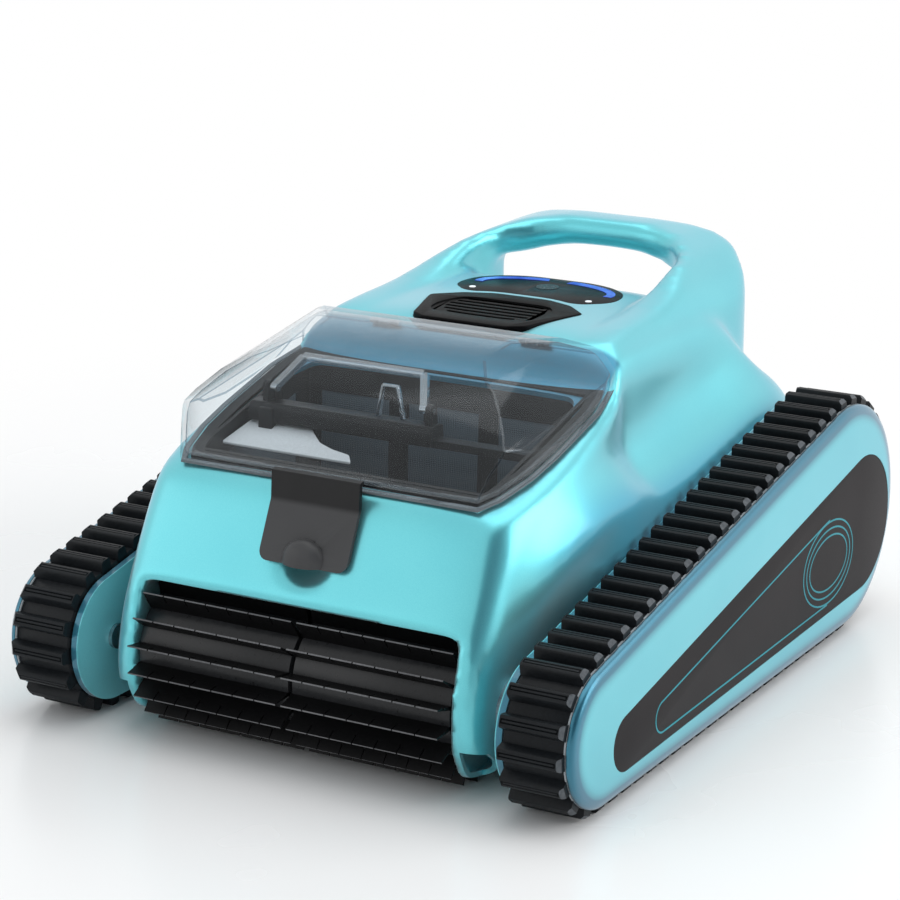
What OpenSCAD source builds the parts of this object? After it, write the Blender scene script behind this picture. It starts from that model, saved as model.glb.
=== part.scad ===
// Cordless tracked pool cleaner.
// Millimetres. +Z is up, +X is the machine's right, the brush is at the -Y end.
// The origin is on the pool floor, under the middle of the machine.

/* [Tracks] */
// Distance between the front and rear track wheel axles
axle_span = 358; // [350:1:366]
// Radius over the cleats round the front wheel
front_r = 49; // [47:0.5:51]
// Radius over the cleats round the rear wheel
rear_r = 83; // [80:0.5:86]
// Width of a rubber belt
belt_w = 41; // [36:1:46]
// Thickness of the belt under its cleats
belt_t = 4; // [3:0.5:5]
// Height of a cleat above the belt
cleat_h = 7; // [5:0.5:8]
// Width of a cleat where it leaves the belt
cleat_root = 11; // [9:0.5:12]
// Width of a cleat at its tip
cleat_tip = 8; // [6:0.5:9]
// Number of cleats round one belt
cleat_count = 64; // [58:1:66]
// Thickness of the plate that carries the wheels
plate_t = 4.5; // [3.5:0.5:6]
// Gap between the body's side and that plate
plate_gap = 16.5; // [15:0.5:20]
// Thickness of a side cover
cover_t = 5.5; // [4.5:0.5:7]
// How far a side cover's outline lies inside the cleat tips
cover_inset = 6.5; // [5.5:0.5:9]
// Width of the sloping edge round a side cover
cover_bevel = 3; // [2:0.5:4]
// Radius of a wheel axle
axle_r = 5; // [4:0.5:6]
// Thickness of a wheel's rim
rim_t = 5; // [4:0.5:7]

/* [Side panels] */
// Height of the small round end of the dark panel
panel_front_z = 38; // [36:0.5:40]
// Distance of that end's centre behind the front axle
panel_front_in = 24; // [22:0.5:28]
// Radius of the small round end
panel_front_r = 17.5; // [15:0.5:19]
// Height of the large round end of the dark panel
panel_rear_z = 74; // [72:0.5:78]
// Distance of that end's centre behind the rear axle
panel_rear_out = 20; // [16:0.5:21]
// Radius of the large round end
panel_rear_r = 47; // [42:0.5:48]
// Thickness of the panel
panel_t = 1.2; // [0.8:0.1:1.6]
// Distance of the oval rings' centre in front of the rear axle
ring_in = 37; // [34:1:42]
// Height of the oval rings' centre
ring_z = 62; // [60:0.5:66]
// Half-length of the outermost oval ring
ring_a = 42; // [38:0.5:43]
// Half-height of the outermost oval ring
ring_b = 29; // [26:0.5:30]
// Distance from one oval ring to the next
ring_step = 5; // [4:0.5:6]
// Width of the coloured lines
line_w = 1.2; // [1:0.1:1.8]

/* [Drive] */
// Tooth size (module) of the drive gears
gear_m = 1.2; // [1:0.1:1.3]
// Teeth on the gear of a rear wheel
gear_teeth = 45; // [45:30:75]
// Teeth on a drive pinion
pinion_teeth = 15; // [15:30:45]
// Face width of the drive gears
gear_w = 6.5; // [5:0.5:7]
// Radius of a drive motor
drive_motor_r = 20; // [17:0.5:21]
// Length of a drive motor
drive_motor_len = 58; // [50:1:60]
// Radius of a drive motor's shaft
drive_shaft_r = 3; // [2.5:0.25:3.5]

/* [Body] */
// Width of the body between the tracks
body_w = 262; // [258:1:270]
// Wall thickness of the shell and the tray
wall = 3; // [2.5:0.25:3.5]
// How far the body's widest part stands out over the tracks
fender_out = 16; // [13:0.5:16.5]
// How far the body's sides lean in where the lid sits
waist_in = 9; // [6:0.5:9.5]
// Y of the lower edge of the front face
nose_y = -217; // [-219:0.5:-215]
// Height of the lower edge of the front face
nose_z = 98.5; // [97:0.5:101]
// Height of the flat deck behind the lid
deck_z = 231; // [229:0.5:233]
// Y of the deck's front edge
deck_front_y = -22; // [-23:0.5:-21.5]
// Y of the deck's rear edge
deck_rear_y = 131; // [130:0.5:134]
// Y of the body's upright rear wall
tail_y = 240; // [237:0.5:241]
// Height of the underside above the floor
belly_z = 14; // [11:0.5:16]
// Height of the joint between the tray and the shell
split_z = 58; // [54:0.5:60]

/* [Handle] */
// How far the handle loop lies inside the body's sides
handle_in = 23; // [19:0.5:27]
// Width of one arm of the handle
arm_w = 34; // [30:0.5:40]
// Y of the hand hole's rear edge
hand_rear_y = 178; // [176:0.5:182]
// Height of the grip bar's top
grip_top_z = 268; // [264:0.5:272]
// Depth of the grip bar, top to bottom
grip_h = 24; // [22:0.5:26]
// Y of the grip bar's rear edge
grip_rear_y = 225; // [220:0.5:230]

/* [Lid] */
// Height of the lid's seat at its front edge
seat_front_z = 165; // [163:0.5:167]
// Height of the lid's seat at its rear edge
seat_rear_z = 205; // [203:0.5:207]
// Y of the lid's front edge
lid_front_y = -181; // [-182:0.5:-180]
// How far the lid's front corners lie inside the body's sides
lid_front_in = 26; // [23:0.5:33]
// How far the lid's sides lie inside the body's sides
lid_in = 10; // [10:0.5:14]
// Wall thickness of the clear lid
lid_t = 3; // [2.5:0.25:3.5]
// Height of the lid's crown
crown_z = 240; // [238:0.5:242]
// How far the shoulders of the lid fall towards its front, in degrees
shoulder_fall = 11; // [9:0.5:12]
// Thickness of the lid's seal
seal_t = 1; // [0.6:0.1:1.4]
// Width of the body's ledge inside the lid's edge
ledge_w = 9; // [8:0.5:11]
// Radius of the hinge pins
hinge_pin_r = 2; // [1.5:0.25:2.25]
// Half-width of the latch
latch_half = 31; // [28:0.5:34]
// Thickness of the latch
latch_t = 2.6; // [2:0.1:2.8]

/* [Brush] */
// Y of the brush axis
brush_y = -186.7; // [-188:0.1:-186]
// Height of the brush axis
brush_z = 51; // [50.5:0.1:52]
// Radius over the fins
brush_r = 50.4; // [47:0.1:50.4]
// Radius of the brush core
core_r = 36; // [32:0.5:40]
// Number of fins round the core
fin_count = 18; // [14:1:20]
// Thickness of a fin at its tip
fin_t = 1.4; // [1:0.1:2]
// Width of the cheek at each end of the bay that the brush turns in
cheek_w = 20; // [18:0.5:25]
// Gap between the two brush halves
brush_split = 3; // [2:0.5:6]
// Radius of the brush shaft
brush_shaft_r = 4; // [3:0.25:5]
// Radius of the brush motor
brush_motor_r = 20; // [16:0.5:22]

/* [Filter] */
// Gap between the filter basket and the body's sides
basket_gap = 27; // [25:0.5:33]
// Height of the basket's floor
basket_z = 66; // [66:0.5:72]
// Wall thickness of the basket
basket_t = 2.4; // [2:0.1:3]
// Thickness of the mesh panels
mesh_t = 1; // [0.8:0.1:1.4]
// Reach of the basket's lifting bail
bail_reach = 25; // [20:0.5:25]
// Distance of the lifting bail's left pin from the basket's side
bail_in = 19; // [14:1:24]
// Width of the lifting bail at its pins
bail_w = 114; // [100:1:118]
// How far each arm of the bail leans in
bail_taper = 13; // [11:0.5:15]
// Length of the inlet flap, front to back
flap_len = 52; // [46:1:54]
// Width of the inlet flap
flap_w = 124; // [110:1:130]

/* [Pump] */
// Y of the pump's axis
pump_y = 27; // [26:0.5:29]
// Inner radius of the pump's tube
tube_r = 33; // [30:0.5:34]
// Length of the pump's tube
tube_len = 56; // [52:0.5:58]
// Radius of the pump motor
pump_motor_r = 26; // [22:0.5:27]
// Length of the pump motor
pump_motor_len = 76; // [66:1:80]
// Number of impeller blades
blade_count = 5; // [3:1:7]
// Thickness of the outlet grille
grille_t = 3.4; // [3.1:0.1:4]

/* [Electrics] */
// Length of the battery case, front to back
battery_len = 118; // [112:1:120]
// Width of the battery case
battery_w = 124; // [122:1:126]
// Height of the battery case
battery_h = 43; // [42.5:0.5:48]
// Radius of a battery cell
cell_r = 9.2; // [9:0.05:9.2]
// Radius of the power button
button_r = 8; // [6:0.5:10]
// Travel of the power button
button_travel = 1.2; // [0.8:0.1:1.2]
// Radius of the charging socket
socket_r = 6; // [5.5:0.25:7]
// Height of the charging socket
socket_z = 88; // [84:0.5:92]

/* [Hidden] */
$fn = 48;

// Clearances
run = 0.05;      // a shaft turning in its bore
slip = 0.3;      // curved faces that pass each other
side_gap = 1;    // between the belt and the plate beside it
cover_gap = 0.5; // between the belt and the cover
far = 400;       // longer than the machine, for cuts that go right through

// The tracks, from the body's side outwards
x_body = body_w / 2;
x_plate = x_body + plate_gap;
x_belt = x_plate + plate_t + side_gap;
x_cover = x_belt + belt_w + cover_gap;
x_out = x_cover + cover_t;

// Widths of the body and of what lies between its sides
fender_half = x_body + fender_out;
waist_half = x_body - waist_in;
handle_half = x_body - handle_in;
hand_half = handle_half - arm_w;
lid_front_half = x_body - lid_front_in;
lid_half = x_body - lid_in;
bay_half = x_body - cheek_w;
basket_half = x_body - basket_gap;
grip_low_z = grip_top_z - grip_h;

// The wheels, from the overall length
length = front_r + axle_span + rear_r;
front_y = front_r - length / 2;
rear_y = front_y + axle_span;
front_c = [front_y, front_r];
rear_c = [rear_y, rear_r];
rim_gap = cleat_h + belt_t + slip;
wheel_side = 1.5;
wheel_x0 = x_belt + wheel_side;
wheel_x1 = x_belt + belt_w - wheel_side - 2;
hub_r = axle_r + 7;
axle_head = 2.5;

// The drive: the pinion stands in front of the rear axle
gear_x = wheel_x0 + 1.5;
pinion_dist = gear_m * (gear_teeth + pinion_teeth) / 2;
drive_c = [rear_y - pinion_dist, rear_r];
drive_ratio = gear_teeth / pinion_teeth;

// The lid's seat slopes up to the rear
seat_rear_y = deck_front_y;
seat_slope = (seat_rear_z - seat_front_z) / (seat_rear_y - lid_front_y);
function seat(y) = seat_front_z + seat_slope * (y - lid_front_y);

// The lid's hinge, just behind its rear edge
lid_rear_y = deck_front_y - 3;
shoulder_y = lid_front_y + 73;
shoulder_z = crown_z - 25;
hinge_y = deck_front_y + 3.5;
hinge_z = deck_z - 5;
knuckle_r = hinge_pin_r + 2.5;
knuckle_x = 48;
knuckle_w = 14;
ear_w = 5;

// The latch hangs on the lid's front edge, clear of the sloping front face
face_slope = (seat_front_z - nose_z) / (lid_front_y - 2 - nose_y);
function face_y(z) = nose_y + (z - nose_z) / face_slope;
latch_y = lid_front_y - 3.8;
latch_z = seat_front_z + 4;
latch_pin_r = 1.4;
latch_lug_r = 3;

// The brush bay
bay_r = brush_r + 3.6;
bush_r = brush_shaft_r + 4;

// The basket's rear windows
window_half = basket_half / 4;
window_pitch = basket_half - 38;

// The basket's bail
bail_x = bail_in + bail_w / 2 - basket_half;
bail_grip_w = bail_w - 2 * bail_taper;
bail_y = -108;
bail_z = seat(bail_y) + 16;
bail_bar_r = 2.8;
bail_arm_t = 2.2;
bail_lean = 42;

// The inlet under the basket, and its flap
flap_rear_y = -62;
flap_lap = 4;
floor_z = belly_z + wall;
flap_t = 2;
flap_z = floor_z + 0.2 + flap_t / 2;

// The pump, from the deck downwards
deck_low = deck_z - wall;
flange_t = 2.5;
tube_low = deck_low - tube_len;
motor_top = tube_low - 1;
impeller_z = motor_top + 30;
impeller_h = 14;
motor_low = motor_top - pump_motor_len;
pump_shaft_r = 2.5;
neck_r = 10.4;
neck_h = 5;
hub_out = neck_r + slip + 2.5;

// The display behind the grille
display_t = 2;
button_y = 101;
board_z = deck_low - 11;

// The charging socket's cap
port_y = tail_y + 1.5;
cap_t = 2.5;
cap_r = socket_r + 5.5;
cap_pin_r = 0.8;
cap_ear_r = 1.7;
cap_hinge_y = port_y + 1.7;
cap_hinge_z = socket_z + cap_r + 3;

// Battery cells lie in two layers
cell_len = 65;
cells_across = 6;
battery_y = 90;

// Screw places
body_screw_y = [-100, 30, 190];
frame_post = [[-110, 34], [-20, 34], [60, 34]];
cover_post = [[-120, 58], [-20, 66], [55, 76]];

function dir(a) = [cos(a), sin(a)];
function up_angle(c1, r1, c2, r2) =
    atan2(c2.y - c1.y, c2.x - c1.x) + 90 + asin((r2 - r1) / norm(c2 - c1));
function low_angle(c1, r1, c2, r2) =
    atan2(c2.y - c1.y, c2.x - c1.x) - 90 - asin((r2 - r1) / norm(c2 - c1));
function mirrored(half) =
    concat(half, [for (i = [len(half) - 1:-1:0]) [-half[i].x, half[i].y]]);
function ellipse(a, b, n = 48) = [for (i = [0:n - 1]) [a * cos(360 * i / n), b * sin(360 * i / n)]];

// Extrude a (y, z) drawing along X
module along_x(x0, x1) {
    translate([x0, 0, 0]) rotate([90, 0, 90]) linear_extrude(x1 - x0) children();
}

// Extrude an (x, z) drawing along Y
module along_y(y0, y1) {
    translate([0, y1, 0]) rotate([90, 0, 0]) linear_extrude(y1 - y0) children();
}

// A bar along X at (y, z)
module bar_x(x0, x1, c, r) {
    along_x(x0, x1) translate(c) circle(r);
}

// Both sides at once
module both_sides() {
    children();
    mirror([1, 0, 0]) children();
}

// A right-hand part, or its mirror image for the left
module on_side(side) {
    mirror([side == "left" ? 1 : 0, 0, 0]) children();
}

// The outline of a belt round two circles
module loop(c1, r1, c2, r2, steps = 40) {
    up = up_angle(c1, r1, c2, r2);
    low = low_angle(c1, r1, c2, r2);
    polygon([
        for (i = [0:steps]) c2 + r2 * dir(up + (low - up) * i / steps),
        for (i = [0:steps]) c1 + r1 * dir(low - (360 + low - up) * i / steps)
    ]);
}

// The track's outline, a given depth inside the cleat tips
module track_loop(inset) {
    loop(front_c, front_r - inset, rear_c, rear_r - inset);
}

module rounded_rect(half, y0, y1, r) {
    for (x = [-1, 1], y = [y0 + r, y1 - r]) translate([x * (half - r), y]) circle(r);
    translate([-half + r, y0]) square([2 * (half - r), y1 - y0]);
    translate([-half, y0 + r]) square([2 * half, y1 - y0 - 2 * r]);
}

// ---------- Body ----------

module body_side() {
    polygon([
        [nose_y + 29, 4], [nose_y + 6, 14], [nose_y - 7, 27], [nose_y - 12, 46], [nose_y - 7, 66],
        [nose_y - 1, nose_z - 14.5], [nose_y, nose_z],
        [lid_front_y - 2, seat(lid_front_y - 2)], [seat_rear_y, seat_rear_z], [seat_rear_y, deck_z],
        [deck_rear_y, deck_z], [deck_rear_y + 14, deck_z - 10], [deck_rear_y + 26, deck_z - 30],
        [deck_rear_y + 38, deck_z - 47], [200, 168], [tail_y - 8, 140], [tail_y, 126],
        [tail_y, 46], [tail_y - 8, 26], [tail_y - 28, belly_z], [-150, belly_z]
    ]);
}

module body_front() {
    polygon(mirrored([
        [x_body, 2], [x_body, 98], [fender_half, 132], [fender_half, 148], [waist_half + 8, 168],
        [waist_half, 186], [waist_half - 1, 206], [waist_half - 12, deck_z - 3],
        [waist_half - 16, deck_z + 2]
    ]));
}

module body_plan() {
    polygon(mirrored([
        [x_body - 12, -232], [x_body, -214], [x_body, -178], [fender_half + 2, -140],
        [fender_half + 2, 165], [fender_half - 10, 210], [x_body - 18, tail_y + 3]
    ]));
}

module body_solid() {
    intersection() {
        along_x(-far, far) body_side();
        along_y(-far, far) body_front();
        linear_extrude(far) body_plan();
    }
}

module body_inside() {
    intersection() {
        along_x(-far, far) offset(delta = -wall) body_side();
        along_y(-far, far) offset(delta = -wall) body_front();
        linear_extrude(far) offset(delta = -wall) body_plan();
    }
}

// The round hollow behind the brush, a given margin larger
module bay_shape(margin) {
    translate([brush_y, brush_z]) circle(bay_r + margin, $fn = 96);
    translate([-far, -10]) square([far + brush_y, nose_z + margin + 10]);
}

module cavity() {
    difference() {
        body_inside();
        along_x(-far, far) bay_shape(wall);
    }
}

// The lid's outline from above, and the opening inside its edge
module lid_plan() {
    polygon(mirrored([
        [lid_front_half, lid_front_y], [lid_front_half + 8, lid_front_y + 15],
        [lid_half - 2, lid_front_y + 42], [lid_half, lid_front_y + 70], [lid_half, -56],
        [lid_half - 6, lid_rear_y]
    ]));
}

module opening_plan() {
    offset(delta = -ledge_w) lid_plan();
}

module grille_plan(margin) {
    offset(delta = margin)
        polygon(mirrored([[30, -15], [42, -7], [57.5, 42], [40, 58], [20, 65]]));
}

module display_plan(margin) {
    offset(delta = margin)
        polygon(mirrored([[20, 69], [42, 62], [60, 80], [58, 102], [45, 117], [24, 125], [0, 126.8]]));
}

module handle_side() {
    polygon([
        [deck_front_y, deck_z - 1.5], [10, deck_z + 1], [67, deck_z + 5], [97, deck_z + 11],
        [127, deck_z + 22], [150, grip_top_z - 5], [172, grip_top_z], [grip_rear_y - 20, grip_top_z],
        [grip_rear_y - 5, grip_top_z - 6], [grip_rear_y, grip_low_z + 10],
        [grip_rear_y - 1, grip_low_z - 6], [grip_rear_y - 5, grip_low_z - 26],
        [grip_rear_y - 11, 200], [grip_rear_y - 19, 182], [grip_rear_y - 27, 165],
        [deck_rear_y + 39, 178], [deck_rear_y + 24, 196], [deck_rear_y, deck_z - 1.5]
    ]);
}

// The handle: two arms that rise from the deck, and a grip bar across them
module handle() {
    difference() {
        intersection() {
            along_x(-far, far) handle_side();
            linear_extrude(far) rounded_rect(handle_half, deck_front_y - 60, grip_rear_y, 42);
        }
        translate([0, 0, 100]) linear_extrude(far) rounded_rect(hand_half, -60, hand_rear_y, 22);
        translate([-hand_half, 0, 100]) cube([2 * hand_half, far, grip_low_z - 100]);
        linear_extrude(grip_low_z - 8) polygon(mirrored([
            [hand_half - 8, 100], [hand_half + 1, hand_rear_y - 13], [hand_half + 6, hand_rear_y + 8],
            [hand_half + 23, hand_rear_y + 36], [hand_half + 27, hand_rear_y + 62]
        ]));
    }
}

module hinge_notches(margin) {
    both_sides() bar_x(knuckle_x - margin, knuckle_x + knuckle_w + margin,
                       [hinge_y, hinge_z], knuckle_r + 1);
    both_sides() translate([knuckle_x - margin, deck_front_y - 10, hinge_z - knuckle_r - 1])
        cube([knuckle_w + 2 * margin, 10 + hinge_y - deck_front_y, 40]);
    both_sides() translate([knuckle_x - margin, hinge_y - 1, hinge_z])
        cube([knuckle_w + 2 * margin, knuckle_r + 2, 40]);
}

// Solid blocks inside the deck's front edge that hold the hinge pins
module hinge_blocks() {
    both_sides() intersection() {
        translate([knuckle_x - ear_w, deck_front_y, hinge_z - 12])
            cube([knuckle_w + 2 * ear_w, hinge_y - deck_front_y + knuckle_r + 1 + wall,
                  deck_z - hinge_z + 12]);
        body_solid();
    }
}

module screw_bosses(z0, z1) {
    both_sides() for (y = body_screw_y) {
        translate([x_body - 10, y, z0]) cylinder(h = z1 - z0, r = 5);
        translate([x_body - 10, y - 2, z0]) cube([10 - wall + 0.5, 4, z1 - z0]);
    }
}

// The hollow for a finger under the latch's lower edge
pocket_z = 122;
module finger_pocket(r) {
    translate([0, face_y(pocket_z) + 4, pocket_z]) sphere(r);
}

module top_shell() {
    color("darkturquoise") difference() {
        union() {
            difference() {
                body_solid();
                cavity();
            }
            handle();
            hinge_blocks();
            screw_bosses(split_z, split_z + 24);
            intersection() {
                finger_pocket(13 + wall);
                body_solid();
            }
        }
        along_x(-bay_half, bay_half) bay_shape(0);
        translate([-far, -150, -1]) cube([2 * far, far, split_z + 1]);
        translate([0, 0, 120]) linear_extrude(far) opening_plan();
        translate([0, 0, deck_low - 10]) linear_extrude(40) grille_plan(0);
        translate([0, 0, deck_low - 10]) linear_extrude(40) display_plan(0);
        hinge_notches(0.5);
        both_sides() bar_x(knuckle_x - ear_w + 1, knuckle_x + knuckle_w + ear_w - 1,
                           [hinge_y, hinge_z], hinge_pin_r);
        finger_pocket(13);
        both_sides() bar_x(x_body - 10, x_body + 30, drive_c, drive_shaft_r + 3);
        both_sides() bar_x(bay_half - 1, x_body + 1, [brush_y, brush_z], bush_r);
        along_y(tail_y - 20, tail_y + 10) translate([0, socket_z]) circle(socket_r + 3);
        both_sides() for (y = body_screw_y)
            translate([x_body - 10, y, split_z - 1]) cylinder(h = 20, r = 2);
    }
}

module chassis_tray() {
    color("#31363b") difference() {
        union() {
            difference() {
                intersection() {
                    body_solid();
                    translate([-far, -150, 0]) cube([2 * far, far, split_z]);
                }
                cavity();
            }
            screw_bosses(floor_z - 1, split_z);
            throat();
            flap_ears();
        }
        along_x(-bay_half, bay_half) bay_shape(0);
        inlet_hole();
        both_sides() for (y = body_screw_y) {
            translate([x_body - 10, y, belly_z - 1]) cylinder(h = 7, r = 4.2);
            translate([x_body - 10, y, belly_z]) cylinder(h = split_z, r = 2.1);
        }
        both_sides() for (p = frame_post) bar_x(x_body - wall - 1, x_body + 1, p, 2.1);
    }
}

module inlet_hole() {
    translate([-flap_w / 2 + flap_lap, flap_rear_y - flap_len + flap_lap, belly_z - 1])
        cube([flap_w - 2 * flap_lap, flap_len - 2 * flap_lap, wall + 2]);
}

// Low walls that lead the water from the inlet up to the basket
module throat() {
    outer = flap_w / 2 + 7;
    difference() {
        translate([-outer, flap_rear_y - flap_len - 5, floor_z - 1])
            cube([2 * outer, flap_len + 13, basket_z - 2 - floor_z]);
        translate([-outer + 2.5, flap_rear_y - flap_len - 2.5, floor_z - 2])
            cube([2 * outer - 5, flap_len + 8, basket_z]);
    }
}

module flap_ears() {
    for (x = [-flap_w / 2 - 5, flap_w / 2 + 1]) difference() {
        translate([x, flap_rear_y - 3, floor_z - 1]) cube([4, 6, flap_z - floor_z + 5]);
        bar_x(x - 1, x + 5, [flap_rear_y, flap_z + 1], 1.5);
    }
}

module body_screws() {
    color("silver") both_sides() for (y = body_screw_y) translate([x_body - 10, y, 0]) {
        translate([0, 0, belly_z + 3]) cylinder(h = 3, r = 3.8);
        translate([0, 0, belly_z + 5]) cylinder(h = split_z - belly_z + 10, r = 2);
    }
}

module frame_screws() {
    color("silver") both_sides() for (p = frame_post) {
        bar_x(x_body - wall - 2.5, x_body - wall, p, 4);
        bar_x(x_body - wall - 1, x_body + 10, p, 2);
    }
}

// ---------- Deck ----------

module outlet_grille() {
    slot_len = 30;
    color("#232323") translate([0, 0, deck_low]) difference() {
        linear_extrude(grille_t) grille_plan(-slip);
        for (i = [0:4]) translate([0, 7 + 9 * i, -1]) linear_extrude(grille_t + 2)
            rounded_rect(slot_len + (i == 0 ? -4 : 0), -2.4, 2.4, 2.3);
    }
}

module display_panel() {
    color("#101418") difference() {
        union() {
            translate([0, 0, deck_low]) linear_extrude(wall + 0.3) display_plan(-slip);
            translate([0, 0, deck_low - display_t]) linear_extrude(display_t) difference() {
                display_plan(3);
                translate([-far, -far]) square([2 * far, far + 70.5]);
            }
        }
        translate([0, button_y, deck_low - 5]) cylinder(h = 20, r = button_r + 0.15);
    }
}

module power_button() {
    flange_z = deck_low - display_t - 1.6;
    color("#1b2127") {
        translate([0, button_y, flange_z]) cylinder(h = deck_z + 0.4 - flange_z, r = button_r);
        translate([0, button_y, flange_z]) cylinder(h = 1.5, r = button_r + 2);
    }
}

module light_bars() {
    color("royalblue") translate([0, 0, deck_z + 0.3]) linear_extrude(0.3) both_sides()
        translate([0, 96]) intersection() {
            difference() {
                scale([52, 26]) circle(1, $fn = 64);
                scale([46, 20]) circle(1, $fn = 64);
            }
            polygon([[0, 0], [70, -4], [70, 40], [14, 40]]);
        }
}

module status_lights() {
    color("white") both_sides() translate([43.8, 76, deck_z + 0.3]) cylinder(h = 0.4, r = 2.2);
}

module control_board() {
    post_top = deck_low - display_t;
    color("seagreen") {
        difference() {
            translate([-44, 78, board_z]) cube([88, 44, 1.6]);
            for (x = [-22, 22]) translate([x, 86, board_z - 1]) cylinder(h = 4, r = 1.6);
        }
        for (x = [-38, 38], y = [83, 115]) translate([x, y, board_z + 1]) {
            cylinder(h = post_top - board_z - 1, r = 2.5);
        }
        translate([-3, button_y - 3, board_z + 1]) cube([6, 6, 4.2]);
        translate([-34, 96, board_z - 3]) cube([16, 16, 3.5]);
        translate([14, 96, board_z - 2]) cube([20, 10, 2.5]);
    }
}

// ---------- Pump ----------

module pump_housing() {
    color("#4a5056") difference() {
        union() {
            translate([0, pump_y, tube_low]) cylinder(h = tube_len, r = tube_r + 3);
            translate([0, 0, deck_low - flange_t]) linear_extrude(flange_t) grille_plan(3);
            for (a = [30, 150, 270]) translate([0, pump_y, tube_low]) rotate(a)
                translate([0, -2, 0]) cube([tube_r + 1, 4, 8]);
            translate([0, pump_y, tube_low]) cylinder(h = 8, r = hub_out);
        }
        translate([0, pump_y, tube_low + 8]) cylinder(h = tube_len, r = tube_r);
        translate([0, pump_y, tube_low - 1]) difference() {
            cylinder(h = 10, r = tube_r);
            cylinder(h = 10, r = hub_out);
            for (a = [30, 150, 270]) rotate(a) translate([0, -2, 0]) cube([tube_r + 1, 4, 10]);
        }
        translate([0, pump_y, 0]) cylinder(h = far, r = pump_shaft_r + 1);
        translate([0, pump_y, motor_top]) cylinder(h = neck_h + slip, r = neck_r + slip);
        translate([-far, 67.2, deck_low - flange_t - 1]) cube([2 * far, 40, 20]);
    }
}

module pump_cradle() {
    color("#3a3f45") difference() {
        union() {
            translate([0, pump_y, floor_z]) cylinder(h = motor_low + 44 - floor_z, r = pump_motor_r + 3.5);
            translate([0, pump_y, floor_z]) cylinder(h = 4, r = pump_motor_r + 12);
        }
        translate([0, pump_y, motor_low]) cylinder(h = far, r = pump_motor_r + 0.1);
        translate([0, pump_y, floor_z - 1]) cylinder(h = motor_low - floor_z - 3, r = pump_motor_r - 2);
        for (a = [0, 60, 120]) translate([0, pump_y, floor_z + 12]) rotate(a)
            translate([-far, -7, 0]) cube([2 * far, 14, motor_low - floor_z - 24]);
    }
}

module pump_motor() {
    color("#8a8f94") difference() {
        translate([0, pump_y, motor_low]) union() {
            cylinder(h = pump_motor_len, r = pump_motor_r);
            cylinder(h = pump_motor_len + neck_h, r = neck_r);
        }
        translate([0, pump_y, motor_top - 30]) cylinder(h = far, r = pump_shaft_r + run);
    }
}

module impeller_shaft() {
    color("silver") translate([0, pump_y, motor_top - 29])
        cylinder(h = impeller_z + impeller_h + 3 - motor_top + 29, r = pump_shaft_r);
}

module impeller() {
    blade_r = tube_r - 2;
    color("#d8dce0") translate([0, pump_y, impeller_z]) difference() {
        union() {
            cylinder(h = impeller_h, r = 9);
            for (i = [0:blade_count - 1]) rotate(360 * i / blade_count)
                rotate([35, 0, 0]) translate([0, -1.1, -2]) cube([blade_r - 3, 2.2, impeller_h]);
        }
        translate([0, 0, -1]) cylinder(h = impeller_h + 2, r = pump_shaft_r);
        translate([0, 0, -10]) cylinder(h = 10, r = far);
        translate([0, 0, impeller_h]) cylinder(h = 10, r = far);
    }
}

// ---------- Battery and charging ----------

module battery_case() {
    color("#2b3a4a") difference() {
        translate([-battery_w / 2, battery_y, floor_z]) cube([battery_w, battery_len, battery_h]);
        translate([-battery_w / 2 + 2.2, battery_y + 2.2, floor_z + 2.2])
            cube([battery_w - 4.4, battery_len - 4.4, battery_h - 4.4]);
    }
}

module battery_cells() {
    pitch = 2 * cell_r + 0.4;
    color("#3f8f5a") for (i = [0:cells_across - 1], j = [0:1])
        translate([(i - (cells_across - 1) / 2) * pitch, battery_y + 2.2,
                   floor_z + 2.2 + cell_r + j * (2 * cell_r + 0.2)])
            rotate([-90, 0, 0]) cylinder(h = cell_len, r = cell_r);
}

module charging_port() {
    color("#26292c") difference() {
        union() {
            translate([-cap_r - 3, tail_y, socket_z - cap_r - 3])
                cube([2 * cap_r + 6, port_y - tail_y, cap_hinge_z - socket_z + cap_r + 5]);
            along_y(tail_y - 16, tail_y + 1) translate([0, socket_z]) circle(socket_r + 2.8);
            both_sides() {
                bar_x(5.2, 9, [cap_hinge_y, cap_hinge_z], cap_ear_r);
                translate([5.2, tail_y + 0.5, cap_hinge_z - cap_ear_r])
                    cube([3.8, cap_hinge_y - tail_y - 0.5, 2 * cap_ear_r]);
            }
        }
        along_y(tail_y - 12, tail_y + far) translate([0, socket_z]) circle(socket_r);
        bar_x(-10, 10, [cap_hinge_y, cap_hinge_z], cap_pin_r);
    }
}

module port_cap_pin() {
    color("silver") bar_x(-9, 9, [cap_hinge_y, cap_hinge_z], cap_pin_r);
}

module port_cap() {
    cap_y = port_y + 0.3;
    color("#1c1e20") difference() {
        union() {
            along_y(cap_y, cap_y + cap_t) translate([0, socket_z]) circle(cap_r);
            along_y(cap_y - 1.2, cap_y + 1) translate([0, socket_z]) circle(socket_r - 1.2);
            bar_x(-5, 5, [cap_hinge_y, cap_hinge_z], 1.3);
            translate([-5, cap_hinge_y - 0.9, socket_z + cap_r - 2])
                cube([10, 1.8, cap_hinge_z - socket_z - cap_r + 2]);
        }
        bar_x(-10, 10, [cap_hinge_y, cap_hinge_z], cap_pin_r + run);
    }
}

// ---------- Inlet flap ----------

module flap_pin() {
    color("silver") bar_x(-flap_w / 2 - 4.5, flap_w / 2 + 4.5, [flap_rear_y, flap_z + 1], 1.5);
}

module inlet_flap() {
    color("#54585c") difference() {
        union() {
            translate([-flap_w / 2, flap_rear_y - flap_len, flap_z - flap_t / 2])
                cube([flap_w, flap_len - 1, flap_t]);
            bar_x(-flap_w / 2, flap_w / 2, [flap_rear_y, flap_z + 1], 2);
        }
        bar_x(-flap_w, flap_w, [flap_rear_y, flap_z + 1], 1.5 + run);
    }
}

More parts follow.
